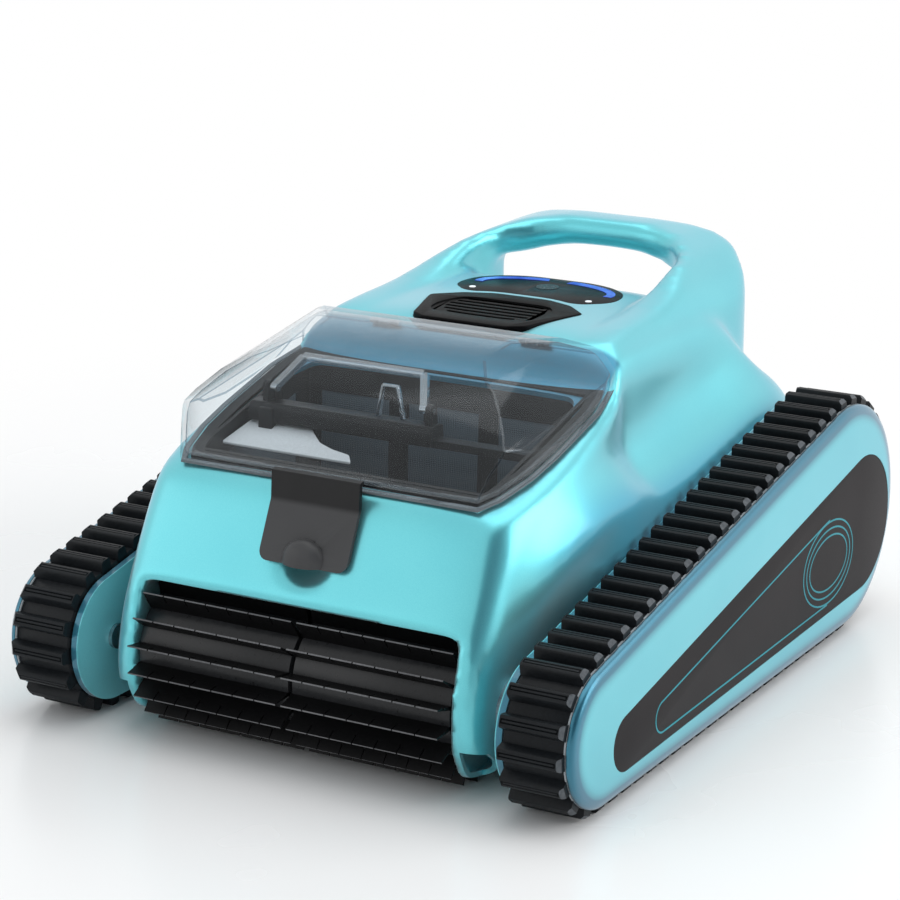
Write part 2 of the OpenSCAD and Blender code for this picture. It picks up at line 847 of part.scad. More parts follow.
// ---------- Filter basket ----------

module basket_side(margin) {
    offset(delta = -margin) polygon([
        [-166, seat(-166) + 30], [-166, seat(-166)], [-154, 112], [-126, 90], [-126, basket_z],
        [-42, basket_z], [-36, seat(-36)], [-36, seat(-36) + 30]
    ]);
}

module seat_band(low, high) {
    along_x(-far, far) polygon([
        [-250, seat(-250) + low], [0, seat(0) + low], [0, seat(0) + high], [-250, seat(-250) + high]
    ]);
}

module window_cut(half_out) {
    // Side windows, then the rear windows
    along_x(-half_out, half_out) window_side_drawing();
    for (x = [-1, 0, 1]) translate([x * window_pitch - window_half, -60, 92])
        cube([2 * window_half, 60, 88]);
}

module filter_basket() {
    color("#202224") difference() {
        union() {
            difference() {
                intersection() {
                    along_x(-basket_half, basket_half) basket_side(0);
                    translate([0, 0, -1]) linear_extrude(far) offset(delta = -1) opening_plan();
                    seat_band(-far, 2);
                }
                along_x(-basket_half + basket_t, basket_half - basket_t) basket_side(basket_t);
                window_cut(far);
                basket_mouth();
            }
            intersection() {
                seat_band(0, 2);
                linear_extrude(far) difference() {
                    offset(delta = 3) opening_plan();
                    offset(delta = -5) opening_plan();
                }
            }
            bail_bridge();
        }
        bar_x(bail_x - bail_w, bail_x + bail_w, [bail_y, bail_z], 1.5);
    }
}

module basket_mouth() {
    translate([-flap_w / 2 + 4, -112, basket_z - 5]) cube([flap_w - 8, 50, 12]);
}

// The cross rail that carries the lifting bail, and the stops that its arms lean on
module bail_bridge() {
    rail_z = seat(bail_y) - 6;
    stop_y = 3.3;
    stop_z = bail_z + stop_y * tan(bail_lean) - bail_arm_t / cos(bail_lean) - slip;
    for (side = [-1, 1])
        translate([bail_x + side * (bail_w / 2 - 2.5) - 2.5, bail_y + stop_y, rail_z + 1])
            cube([5, 5 - stop_y, stop_z - rail_z - 1]);
    translate([-basket_half + 1, bail_y - 5, rail_z]) cube([2 * basket_half - 2, 10, 5]);
    for (x = [bail_x - bail_w / 2 - 4.2, bail_x + bail_w / 2 + 0.2]) {
        translate([x, bail_y - 4, rail_z + 1]) cube([4, 8, bail_z - rail_z - 1]);
        bar_x(x, x + 4, [bail_y, bail_z], 4);
    }
}

module bail_pins() {
    color("silver") for (x = [bail_x - bail_w / 2 - 4.2, bail_x + bail_w / 2 - 4])
        bar_x(x, x + 8.2, [bail_y, bail_z], 1.5);
}

module basket_bail() {
    t = bail_arm_t;
    color("#c8d4dc", 0.6) translate([bail_x, bail_y, bail_z]) rotate([bail_lean, 0, 0]) difference() {
        union() {
            bar_x(-bail_grip_w / 2, bail_grip_w / 2, [bail_reach, 0], bail_bar_r);
            for (side = [-1, 1]) {
                x = side * (bail_w / 2 - 2.5);
                bar_x(x - 2.5, x + 2.5, [0, 0], bail_bar_r);
                translate([0, 0, -t]) linear_extrude(2 * t) polygon([
                    [x - 2.5, 0], [x + 2.5, 0], [side * bail_grip_w / 2 + 2.5, bail_reach],
                    [side * bail_grip_w / 2 - 2.5, bail_reach]
                ]);
            }
        }
        bar_x(-bail_w, bail_w, [0, 0], 1.5 + run);
    }
}

module basket_mesh() {
    color("#b8bcc0", 0.8) difference() {
        union() {
            both_sides() translate([basket_half - basket_t + 0.7, 0, 0]) along_x(0, mesh_t)
                offset(delta = -slip) window_side_drawing();
            intersection() {
                for (x = [-1, 0, 1])
                    translate([x * window_pitch - window_half + slip, -60, 92 + slip])
                        cube([2 * (window_half - slip), 60, 88 - 2 * slip]);
                along_x(-far, far) difference() {
                    basket_side(0.7);
                    basket_side(0.7 + mesh_t);
                }
            }
        }
    }
}

module window_side_drawing() {
    polygon([
        [-142, 124], [-118, 104], [-60, 92], [-52, 160], [-54, seat(-54) - 16], [-140, seat(-140) - 16]
    ]);
}

// ---------- Lid ----------

module lid_side() {
    polygon([
        [lid_front_y, 100], [lid_front_y, seat_front_z + 7], [lid_front_y + 8, crown_z - 52],
        [lid_front_y + 21, crown_z - 37], [lid_front_y + 37, crown_z - 23],
        [lid_front_y + 57, crown_z - 11], [lid_front_y + 81, crown_z - 3], [-70, crown_z],
        [lid_rear_y - 16, crown_z - 4], [lid_rear_y - 2, deck_z - 1.5], [lid_rear_y, deck_z - 4],
        [lid_rear_y, 100]
    ]);
}

module lid_front_shape() {
    polygon(mirrored([
        [lid_half + 2, 100], [lid_half + 2, 172], [lid_half + 1, 190], [lid_half - 3, 204],
        [lid_half - 10, crown_z - 26], [lid_half - 21, crown_z - 17], [lid_half - 33, crown_z - 11],
        [0.54 * lid_half, crown_z - 5], [0.29 * lid_half, crown_z - 1], [0.11 * lid_half, crown_z + 1]
    ]));
}

module lid_hood(inset) {
    intersection() {
        along_x(-far, far) offset(delta = -inset) lid_side();
        translate([0, shoulder_y, shoulder_z]) rotate([shoulder_fall, 0, 0])
            translate([0, -shoulder_y, -shoulder_z])
                along_y(-far, far) offset(delta = -inset) lid_front_shape();
        linear_extrude(far) offset(delta = -inset) lid_plan();
    }
}

module lid_edge(low, high, inset) {
    intersection() {
        seat_band(low, high);
        linear_extrude(far) difference() {
            offset(delta = -inset) lid_plan();
            offset(delta = inset - lid_t - 1) lid_plan();
        }
    }
}

module lid() {
    color("lightblue", 0.35) difference() {
        union() {
            difference() {
                lid_hood(0);
                lid_hood(lid_t);
                seat_band(-far, slip + seal_t);
            }
            both_sides() {
                bar_x(knuckle_x, knuckle_x + knuckle_w, [hinge_y, hinge_z], knuckle_r);
                translate([knuckle_x, lid_rear_y - 1, hinge_z - 3])
                    cube([knuckle_w, hinge_y - lid_rear_y + 1, 6]);
            }
            both_sides() {
                bar_x(10, 15, [latch_y, latch_z], latch_lug_r);
                translate([10, latch_y, latch_z - 1.6]) cube([5, lid_front_y - latch_y + 1, 3.2]);
            }
        }
        both_sides() bar_x(knuckle_x - 1, knuckle_x + knuckle_w + 1, [hinge_y, hinge_z],
                           hinge_pin_r + run);
        bar_x(-20, 20, [latch_y, latch_z], latch_pin_r);
    }
}

module lid_seal() {
    color("#333333") lid_edge(slip, slip + seal_t, 0.2);
}

module lid_hinge_pins() {
    color("silver") both_sides()
        bar_x(knuckle_x - ear_w + 1, knuckle_x + knuckle_w + ear_w - 1, [hinge_y, hinge_z], hinge_pin_r);
}

module latch_pin() {
    color("silver") bar_x(-24, 24, [latch_y, latch_z], latch_pin_r);
}

module latch_section() {
    out = latch_t;
    top_y = latch_y - latch_lug_r - 0.6;
    knee_z = latch_z - 12;
    low_z = latch_z - 46;
    polygon([
        [top_y + 2.2, latch_z + 4.4], [top_y + 1.4, latch_z + 6.4], [top_y - out, latch_z + 4.5],
        [top_y - out - 1.6, knee_z], [face_y(low_z) - 1.6 - out, low_z], [face_y(low_z) - 1.4, low_z],
        [top_y - 1.2, knee_z], [top_y, latch_z + 3]
    ]);
}

module latch() {
    color("#2e2e30") difference() {
        union() {
            along_x(-latch_half, latch_half) latch_section();
            both_sides() {
                bar_x(15.4, 24, [latch_y, latch_z], latch_lug_r);
                translate([15.4, latch_y - latch_lug_r - 1.2, latch_z - 2])
                    cube([8.6, latch_lug_r + 1.2, 4]);
            }
        }
        both_sides() bar_x(15, 25, [latch_y, latch_z], latch_pin_r + run);
        translate([0, face_y(latch_z - 46) - 4, latch_z - 48]) sphere(10);
    }
}

// ---------- Brush ----------

module brush_half(x0, x1) {
    difference() {
        union() {
            bar_x(x0, x1, [brush_y, brush_z], core_r);
            along_x(x0, x1) translate([brush_y, brush_z]) intersection() {
                circle(brush_r, $fn = 96);
                for (i = [0:fin_count - 1]) rotate(360 * i / fin_count + 8)
                    polygon([[core_r - 2, -fin_t], [brush_r + 1, -fin_t / 2], [brush_r + 1, fin_t / 2],
                             [core_r - 2, fin_t]]);
            }
        }
        bar_x(x0 + 4, x1 - 4, [brush_y, brush_z], core_r - 3);
        bar_x(x0 - 1, x1 + 1, [brush_y, brush_z], brush_shaft_r);
    }
}

module brush_left() {
    color("#1a1a1b") brush_half(-bay_half + 1, -brush_split / 2);
}

module brush_right() {
    color("#1a1a1b") brush_half(brush_split / 2, bay_half - 1);
}

module brush_shaft() {
    color("silver") bar_x(-x_body + 3, x_body + 12, [brush_y, brush_z], brush_shaft_r);
}

module brush_bushes() {
    color("ivory") both_sides() difference() {
        bar_x(bay_half, x_body, [brush_y, brush_z], bush_r);
        bar_x(bay_half - 1, x_body + 1, [brush_y, brush_z], brush_shaft_r + run);
    }
}

module brush_motor() {
    color("#6b7076") difference() {
        bar_x(x_body, x_plate - axle_head - 0.5, [brush_y, brush_z], brush_motor_r);
        bar_x(x_body - 1, x_body + 12.5, [brush_y, brush_z], brush_shaft_r + run);
    }
}

// ---------- Tracks ----------

front_rim = front_r - cleat_h;
rear_rim = rear_r - cleat_h;
track_up = up_angle(front_c, front_rim, rear_c, rear_rim);
track_low = low_angle(front_c, front_rim, rear_c, rear_rim);
run_len = sqrt(pow(norm(rear_c - front_c), 2) - pow(rear_rim - front_rim, 2));
rear_arc = rear_rim * (track_up - track_low) * PI / 180;
front_arc = front_rim * (360 - track_up + track_low) * PI / 180;
track_len = 2 * run_len + rear_arc + front_arc;

// Place and outward direction at a distance along the belt: top run, rear, bottom run, front
function on_track(s) =
    s < run_len ? [front_c + front_rim * dir(track_up) + s * dir(track_up - 90), track_up] :
    s < run_len + rear_arc ?
        let (a = track_up - (s - run_len) / rear_rim * 180 / PI) [rear_c + rear_rim * dir(a), a] :
    s < 2 * run_len + rear_arc ?
        [rear_c + rear_rim * dir(track_low) + (s - run_len - rear_arc) * dir(track_low - 90), track_low] :
    let (a = track_low - (s - 2 * run_len - rear_arc) / front_rim * 180 / PI)
        [front_c + front_rim * dir(a), a];

module track_belt(side) {
    color("#171717") on_side(side) along_x(x_belt, x_belt + belt_w) difference() {
        intersection() {
            track_loop(0);
            union() {
                track_loop(cleat_h);
                for (i = [0:cleat_count - 1]) let (p = on_track((i + 0.5) * track_len / cleat_count))
                    translate(p[0]) rotate(p[1]) polygon([
                        [-1, -cleat_root / 2], [cleat_h + 1, -cleat_tip / 2],
                        [cleat_h + 1, cleat_tip / 2], [-1, cleat_root / 2]
                    ]);
            }
        }
        track_loop(cleat_h + belt_t);
    }
}

// Inner plate with the belt's slide rails, and posts to the body and to the cover
module track_frame(side) {
    color("darkturquoise") on_side(side) difference() {
        union() {
            along_x(x_plate, x_plate + plate_t) track_loop(cleat_h + 1.5);
            along_x(x_plate + plate_t, x_belt + belt_w - 3) difference() {
                track_loop(rim_gap);
                track_loop(rim_gap + 3);
                translate(front_c) circle(front_r - rim_gap + 1.5, $fn = 96);
                translate(rear_c) circle(rear_r - rim_gap + 1.5, $fn = 96);
            }
            for (p = frame_post) bar_x(x_body, x_plate + 1, p, 7);
            for (p = cover_post) bar_x(x_plate + 1, x_cover, p, 5);
        }
        for (c = [front_c, rear_c]) bar_x(x_plate - 1, x_plate + plate_t + 1, c, axle_r);
        bar_x(x_plate - 1, x_plate + plate_t + 1, drive_c, drive_shaft_r + 1);
        for (p = frame_post) bar_x(x_body - 1, x_body + 12, p, 2);
        for (p = cover_post) bar_x(x_plate - 1, x_cover + 1, p, 1.6);
    }
}

module wheel_axles() {
    color("silver") both_sides() for (c = [front_c, rear_c]) {
        bar_x(x_plate, x_cover, c, axle_r);
        bar_x(x_plate - axle_head, x_plate, c, axle_r + 3);
    }
}

module cover_screws() {
    color("silver") both_sides() for (p = cover_post) {
        bar_x(x_plate - 2, x_plate, p, 3.4);
        bar_x(x_plate - 1, x_cover + 2, p, 1.5);
    }
}

module wheel(c, r, spokes) {
    mid = (wheel_x0 + wheel_x1) / 2 + 4;
    window_d = (r - rim_t + hub_r) / 2;
    window_r = min((r - rim_t - hub_r) / 2 - 2, window_d * sin(180 / spokes) - 3);
    difference() {
        union() {
            difference() {
                bar_x(wheel_x0, wheel_x1, c, r, $fn = 96);
                bar_x(wheel_x0 - 1, wheel_x1 + 1, c, r - rim_t, $fn = 96);
            }
            bar_x(wheel_x0, wheel_x1, c, hub_r);
            along_x(mid - 2, mid + 2) translate(c) difference() {
                circle(r - 1, $fn = 96);
                for (i = [0:spokes - 1]) rotate(360 * i / spokes) translate([window_d, 0])
                    circle(window_r);
            }
        }
        bar_x(wheel_x0 - 1, wheel_x1 + 1, c, axle_r + run);
    }
}

module front_wheel(side) {
    color("#2a2d30") on_side(side) wheel(front_c, front_r - rim_gap, 5);
}

module rear_wheel(side) {
    color("#2a2d30") on_side(side) wheel(rear_c, rear_r - rim_gap, 6);
}

// A spur gear in the (y, z) drawing, with one tooth at angle 0
module gear_drawing(teeth) {
    pitch_r = gear_m * teeth / 2;
    root_r = pitch_r - 1.25 * gear_m;
    circle(root_r, $fn = 96);
    for (i = [0:teeth - 1]) rotate(360 * i / teeth) polygon([
        [root_r - 0.5, -1.05 * gear_m], [pitch_r, -0.62 * gear_m], [pitch_r + 0.9 * gear_m, -0.28 * gear_m],
        [pitch_r + 0.9 * gear_m, 0.28 * gear_m], [pitch_r, 0.62 * gear_m], [root_r - 0.5, 1.05 * gear_m]
    ]);
}

module wheel_gear(side) {
    color("#c9a227") on_side(side) difference() {
        along_x(gear_x, gear_x + gear_w) translate(rear_c) gear_drawing(gear_teeth);
        bar_x(gear_x - 1, gear_x + gear_w + 1, rear_c, hub_r);
    }
}

module drive_pinion(side) {
    color("#b08d2a") on_side(side) {
        bar_x(x_body - wall - 10, gear_x + gear_w, drive_c, drive_shaft_r);
        along_x(gear_x, gear_x + gear_w) translate(drive_c) gear_drawing(pinion_teeth);
    }
}

module drive_motor(side) {
    inner = x_body - wall;
    color("#5c6166") on_side(side) difference() {
        union() {
            bar_x(inner - drive_motor_len, inner - 12, drive_c, drive_motor_r);
            bar_x(inner - 12, inner, drive_c, drive_motor_r - 2);
        }
        bar_x(inner - 10.5, inner + 1, drive_c, drive_shaft_r + run);
    }
}

module shaft_seals() {
    color("#111111") both_sides() difference() {
        bar_x(x_body - wall, x_body, drive_c, drive_shaft_r + 3);
        bar_x(x_body - wall - 1, x_body + 1, drive_c, drive_shaft_r + run);
    }
}

// ---------- Side covers ----------

module panel_drawing(margin) {
    loop([front_y + panel_front_in, panel_front_z], panel_front_r - margin,
         [rear_y + panel_rear_out, panel_rear_z], panel_rear_r - margin);
}

module side_cover(side) {
    color("darkturquoise") on_side(side) difference() {
        union() {
            hull() {
                along_x(x_cover, x_out - cover_bevel) track_loop(cover_inset);
                along_x(x_out - 0.1, x_out) track_loop(cover_inset + cover_bevel);
            }
            for (c = [front_c, rear_c]) bar_x(wheel_x1 + 0.5, x_cover + 1, c, axle_r + 4);
        }
        for (c = [front_c, rear_c]) bar_x(wheel_x1 - 1, x_cover, c, axle_r);
        along_x(x_out - panel_t - 0.3, x_out + 1) panel_drawing(0);
        for (p = cover_post) bar_x(x_cover - 1, x_cover + 2, p, 1.5);
    }
}

module side_panel(side) {
    color("#3a3a3a") on_side(side) along_x(x_out - panel_t - 0.3, x_out - 0.3) panel_drawing(0.2);
}

module oval_line(a, b) {
    difference() {
        polygon(ellipse(a, b));
        polygon(ellipse(a - line_w, b - line_w));
    }
}

// Three oval rings, and one line that loops forward from the outer ring to the small end
module trim_lines(side) {
    ring_c = [rear_y - ring_in, ring_z];
    tip_c = [front_y + 72, 38];
    color("turquoise") on_side(side) along_x(x_out - 0.3, x_out - 0.05) {
        translate(ring_c) for (i = [0:2]) oval_line(ring_a - i * ring_step, ring_b - i * ring_step);
        difference() {
            loop(tip_c, 10.5, ring_c, ring_b + 1);
            loop(tip_c, 10.5 - line_w, ring_c, ring_b + 1 - line_w);
            translate(ring_c) polygon(ellipse(ring_a - 0.1, ring_b - 0.1));
            translate(ring_c) square([far, far], center = false);
            translate(ring_c - [0, far]) square([far, far]);
        }
    }
}

top_shell();
chassis_tray();
body_screws();
outlet_grille();
display_panel();
power_button();
light_bars();
status_lights();
control_board();
pump_housing();
pump_cradle();
pump_motor();
impeller();
impeller_shaft();
battery_case();
battery_cells();
charging_port();
port_cap();
port_cap_pin();
inlet_flap();
flap_pin();
filter_basket();
basket_mesh();
basket_bail();
bail_pins();
lid();
lid_seal();
lid_hinge_pins();
latch();
latch_pin();
brush_left();
brush_right();
brush_shaft();
brush_bushes();
brush_motor();
shaft_seals();
wheel_axles();
cover_screws();
frame_screws();
for (side = ["left", "right"]) {
    side_cover(side);
    side_panel(side);
    trim_lines(side);
    track_belt(side);
    track_frame(side);
    front_wheel(side);
    rear_wheel(side);
    wheel_gear(side);
    drive_pinion(side);
    drive_motor(side);
}
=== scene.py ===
import math

import bmesh
import bpy
from mathutils import Matrix, Vector


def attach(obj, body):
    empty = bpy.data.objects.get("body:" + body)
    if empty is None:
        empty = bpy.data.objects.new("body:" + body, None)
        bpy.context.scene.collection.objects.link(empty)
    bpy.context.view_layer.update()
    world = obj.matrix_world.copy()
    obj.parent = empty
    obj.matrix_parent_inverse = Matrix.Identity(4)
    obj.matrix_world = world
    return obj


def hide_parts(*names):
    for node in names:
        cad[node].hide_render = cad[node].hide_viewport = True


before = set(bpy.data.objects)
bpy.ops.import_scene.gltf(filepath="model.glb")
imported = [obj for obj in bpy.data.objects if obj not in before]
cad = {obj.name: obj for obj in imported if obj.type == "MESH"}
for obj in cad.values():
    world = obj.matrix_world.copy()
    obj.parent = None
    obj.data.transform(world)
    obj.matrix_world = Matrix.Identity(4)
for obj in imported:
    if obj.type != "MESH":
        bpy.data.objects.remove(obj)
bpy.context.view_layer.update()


# ---------- Studio ----------
# A camera in front of the machine's right corner, and a pale glossy floor that fades to white.
# Three large soft lamps light it, and a dim blue card stands where only its gloss reflects it.

camera = bpy.data.objects.new("camera", bpy.data.cameras.new("camera"))
bpy.context.scene.collection.objects.link(camera)
camera.location = (0.9048, -1.6058, 0.6799)
aim = Vector((-0.00284, -0.0257, 0.14858))
camera.rotation_euler = (aim - camera.location).to_track_quat("-Z", "Y").to_euler()
camera.data.lens = 117.74
camera.data.sensor_width = 36
bpy.context.scene.camera = camera
bpy.context.scene.view_settings.view_transform = "Standard"


class Wire:
    """An output of a shader node. Sums on it add Math nodes."""

    def __init__(self, tree, socket):
        self.tree = tree
        self.socket = socket

    def node(self, kind, settings=None, inputs=None, output=0):
        """Adds any node: its settings first, then the values or wires of its inputs."""
        made = self.tree.nodes.new(kind)
        for name, value in (settings or {}).items():
            setattr(made, name, value)
        for name, value in (inputs or {}).items():
            if isinstance(value, Wire):
                self.tree.links.new(value.socket, made.inputs[name])
            else:
                made.inputs[name].default_value = value
        return Wire(self.tree, made.outputs[output] if made.outputs else None)

    def math(self, operation, *values):
        return self.node("ShaderNodeMath", {"operation": operation}, dict(enumerate(values)))

    def __add__(self, other):
        return self.math("ADD", self, other)

    def __radd__(self, other):
        return self.math("ADD", other, self)

    def __sub__(self, other):
        return self.math("SUBTRACT", self, other)

    def __rsub__(self, other):
        return self.math("SUBTRACT", other, self)

    def __mul__(self, other):
        return self.math("MULTIPLY", self, other)

    def __rmul__(self, other):
        return self.math("MULTIPLY", other, self)

    def part(self, axis):
        """One part of a place: how far along X, Y or Z it is."""
        return self.node("ShaderNodeSeparateXYZ", {}, {0: self}, axis)

    def mix(self, low, high):
        """A colour that goes from low to high as this wire goes from 0 to 1."""
        return self.node("ShaderNodeMix", {"data_type": "RGBA"}, {0: self, 6: low, 7: high}, 2)

    def ramp(self, low, high):
        """0 below low, 1 above high, and smooth between them."""
        return self.node("ShaderNodeMapRange", {"interpolation_type": "SMOOTHSTEP"},
                         {0: self, 1: low, 2: high, 3: 0.0, 4: 1.0})

    def noise(self, scale, detail=3.0):
        return self.node("ShaderNodeTexNoise", {}, {
            "Vector": self, "Scale": scale, "Detail": detail})

    def bump(self, distance, strength=1.0):
        return self.node("ShaderNodeBump", {}, {
            "Height": self, "Distance": distance, "Strength": strength})


def start(owner):
    """An empty tree of nodes on a material or the world."""
    owner.use_nodes = True
    owner.node_tree.nodes.clear()
    return Wire(owner.node_tree, None)


def new_material(name):
    """A new material, and its object coordinates."""
    material = bpy.data.materials.new(name)
    return material, start(material).node("ShaderNodeTexCoord", output="Object")


def rgb(red, green, blue):
    """A display colour, each part from 0 to 255, as a shader takes it."""
    return (*[((c / 255 + 0.055) / 1.055) ** 2.4 if c > 10 else c / 3294.6
              for c in (red, green, blue)], 1)


bpy.ops.mesh.primitive_plane_add(size=24)
floor = bpy.context.object
floor.name = "floor"
floor_finish, place = new_material("floor")
distance = place.node("ShaderNodeVectorMath", {"operation": "LENGTH"}, {0: place}, "Value")
sheen = place.node("ShaderNodeBsdfPrincipled", {}, {
    "Base Color": rgb(249, 247, 246), "Roughness": 0.25 + place.noise(6.0) * 0.04,
    "Specular IOR Level": 0.3})
white = place.node("ShaderNodeEmission", {}, {"Color": (1, 1, 1, 1), "Strength": 1.0})
fading = place.node("ShaderNodeMixShader", {}, {0: distance.ramp(0.4, 0.9), 1: sheen, 2: white})
place.node("ShaderNodeOutputMaterial", {}, {0: fading})
floor.data.materials.append(floor_finish)

world = bpy.data.worlds.new("studio")
bpy.context.scene.world = world
sky = start(world)
camera_ray, glossy_ray, clear_ray = [
    sky.node("ShaderNodeLightPath", output=name)
    for name in ("Is Camera Ray", "Is Glossy Ray", "Is Transmission Ray")]
seen = camera_ray + glossy_ray + clear_ray
glow = sky.node("ShaderNodeBackground", {}, {
    "Color": seen.mix((0.92, 0.97, 1, 1), (1, 1, 1, 1)), "Strength": 0.7 + seen * 0.3})
sky.node("ShaderNodeOutputWorld", {}, {0: glow})


def softbox(name, place, size, watts):
    """A rectangular lamp that points at the machine's lower middle."""
    lamp = bpy.data.objects.new(name, bpy.data.lights.new(name, "AREA"))
    bpy.context.scene.collection.objects.link(lamp)
    lamp.location = place
    target = Vector((0, 0, 0.1))
    lamp.rotation_euler = (target - lamp.location).to_track_quat("-Z", "Y").to_euler()
    lamp.data.shape = "RECTANGLE"
    lamp.data.size, lamp.data.size_y = size
    lamp.data.energy = watts


softbox("key", (0.2, 0.3, 2.2), (2.2, 2.2), 18)
softbox("right", (2.2, 0.8, 1.0), (1.8, 1.4), 26)
softbox("front", (-1.8, -1.9, 0.9), (1.6, 1.2), 4)

bpy.ops.mesh.primitive_plane_add(size=1)
card = bpy.context.object
card.name = "blue_card"
card.data.transform(Matrix.Diagonal((2.0, 1.2, 1, 1)))
card.location = (1.09, -0.71, 0.8)
card.rotation_euler = (Vector((0, 0, 0.3)) - card.location).to_track_quat("Z", "Y").to_euler()
card.visible_camera = card.visible_diffuse = False
card.visible_transmission = card.visible_shadow = False
card_finish, place = new_material("blue_card")
card_glow = place.node("ShaderNodeEmission", {}, {
    "Color": place.noise(4.0).mix(rgb(0, 110, 156), rgb(6, 122, 168)), "Strength": 0.25})
place.node("ShaderNodeOutputMaterial", {}, {0: card_glow})
card.data.materials.append(card_finish)


# ---------- Top shell ----------
# The moulding with the handle, in pearl turquoise paint. Cross-sections are joined to a closed
# body, the handle is added and the brush bay cut away, and the whole is rounded, hollowed and
# cut open.

MM = 0.001

# Each row is Y, the top's height and half-width, five points down the right side, and the
# underside's height, from the front bumper to the rear wall.
body_rows = (
    (-228, 56, 111, (117, 54), (120, 50), (122, 47), (122, 44), (121, 41), 36),
    (-223, 76, 114, (120, 70), (125, 60), (127, 50), (128, 40), (126, 32), 22),
    (-217, 100, 114, (121, 94), (127, 78), (130, 58), (130, 40), (130, 26), 12),
    (-214, 105, 115, (122, 98), (128, 80), (131, 60), (132, 40), (131, 26), 8),
    (-198, 136.5, 112, (121, 130), (129, 112), (132, 80), (132, 50), (131, 24), 4),
    (-185, 162, 110, (118, 156), (127, 140), (132, 112), (132, 80), (131, 24), 3),
    (-178, 167, 115, (123, 160), (129, 142), (133, 120), (133, 100), (131, 60), 3),
    (-155, 172, 122, (128, 165), (133, 148), (140, 130), (140, 116), (131, 96), 3),
    (-120, 181, 124, (130, 174), (138, 158), (148, 146), (148, 132), (131, 98), 3),
    (-70, 193.5, 124, (127, 187), (131, 170), (145, 152), (149, 146), (148, 130), 3),
    (-50, 198.5, 123, (124, 191), (126, 168), (143, 152), (149, 146), (148, 130), 3),
    (-26, 205, 121, (122, 197), (118, 170), (130, 152), (148, 143), (148, 130), 3),
    (-21, 230, 106, (116, 218), (117, 178), (129, 152), (148, 142), (148, 130), 3),
    (20, 232, 106, (117, 214), (114, 182), (128, 156), (148, 143), (148, 130), 3),
    (60, 232, 106, (117, 212), (113, 184), (129, 158), (148, 146), (148, 130), 3),
    (100, 232, 106, (117, 210), (115, 182), (132, 158), (148, 148), (148, 130), 3),
    (131, 232, 106, (117, 208), (118, 182), (136, 158), (148, 150), (148, 130), 3),
    (157, 202, 110, (119, 190), (125, 172), (139, 156), (148, 148), (148, 130), 3),
    (180, 179, 114, (125, 170), (133, 160), (142, 150), (147, 142), (146, 128), 3),
    (205, 165, 116, (126, 158), (133, 150), (139, 140), (141, 130), (139, 116), 3),
    (228, 145, 112, (118, 140), (125, 132), (128, 124), (129, 112), (127, 98), 20),
    (240, 120, 104, (108, 116), (112, 110), (114, 104), (115, 96), (114, 88), 50),
)
shell_wall = 3
brush_at = Vector((0, -186.7, 51))
bay_half = 111
bay_roof = 98.5


def keep(name, draw):
    """A new object with the mesh that the given function draws in a bmesh."""
    bm = bmesh.new()
    draw(bm)
    bmesh.ops.recalc_face_normals(bm, faces=bm.faces)
    mesh = bpy.data.meshes.new(name)
    bm.to_mesh(mesh)
    bm.free()
    made = bpy.data.objects.new(name, mesh)
    bpy.context.scene.collection.objects.link(made)
    return made


def change(piece, kind, **settings):
    """Puts a modifier on a piece and makes its result the piece's mesh."""
    modifier = piece.modifiers.new(kind.lower(), kind)
    for name, value in settings.items():
        setattr(modifier, name, value)
    shape = piece.evaluated_get(bpy.context.evaluated_depsgraph_get())
    mesh = bpy.data.meshes.new_from_object(shape)
    piece.modifiers.clear()
    old = piece.data
    piece.data = mesh
    bpy.data.meshes.remove(old)


def combine(piece, other, operation):
    """Adds another solid, cuts it away or keeps what both share. The other one is used up."""
    change(piece, "BOOLEAN", object=other, operation=operation, solver="MANIFOLD")
    bpy.data.objects.remove(other)


def soften(piece, cell, rounds):
    """Remakes a solid from even cells, given in mm, and rounds every edge of it."""
    change(piece, "REMESH", mode="VOXEL", voxel_size=cell * MM)
    change(piece, "SMOOTH", factor=0.5, iterations=rounds)


def prism(axis, low, high, points, corner=0.0, segments=4):
    """A straight solid with the given outline, from low to high along an axis, all in mm. Its
    corners along that axis may be rounded."""
    def draw(bm):
        spread = {"X": lambda a, b: (low, a, b), "Y": lambda a, b: (a, low, b),
                  "Z": lambda a, b: (a, b, low)}[axis]
        rim = [bm.verts.new(Vector(spread(*p)) * MM) for p in points]
        face = bm.faces.new(rim)
        if corner:
            bmesh.ops.bevel(bm, geom=rim, affect="VERTICES", offset=corner * MM, segments=segments,
                            profile=0.5, material=-1)
            face = bm.faces[:][0]
        along = Vector([(high - low) * MM if axis == name else 0 for name in "XYZ"])
        drawn_out = bmesh.ops.extrude_face_region(bm, geom=[face])["geom"]
        far_end = [v for v in drawn_out if isinstance(v, bmesh.types.BMVert)]
        bmesh.ops.translate(bm, verts=far_end, vec=along)
    return keep("prism", draw)


def both(half):
    """A right-hand outline closed with its mirror image."""
    return [*half, *[(-x, y) for x, y in reversed(half)]]


def oblong(left, right, low, high):
    """The outline of a rectangle."""
    return [(left, low), (right, low), (right, high), (left, high)]


def draw_body(bm):
    """The right half of the body, bridged from row to row, and its mirror image."""
    rings = []
    for y, top, half, *side, low in body_rows:
        outline = [(0, top), (half, top), *side, (side[-1][0], low), (0, low)]
        ring = [bm.verts.new(Vector((x, y, z)) * MM) for x, z in outline]
        rings.append([bm.edges.new(pair) for pair in zip(ring, ring[1:])])
    for near, far in zip(rings, rings[1:]):
        bmesh.ops.bridge_loops(bm, edges=near + far)
    for ring in (rings[0], rings[-1]):
        bmesh.ops.contextual_create(bm, geom=[ring[0].verts[0], *[e.verts[1] for e in ring]])
    bmesh.ops.mirror(bm, geom=bm.verts[:] + bm.edges[:] + bm.faces[:], axis="X", merge_dist=1e-5)


top_shell = keep("top_shell_paint", draw_body)
change(top_shell, "SUBSURF", levels=2, render_levels=2)

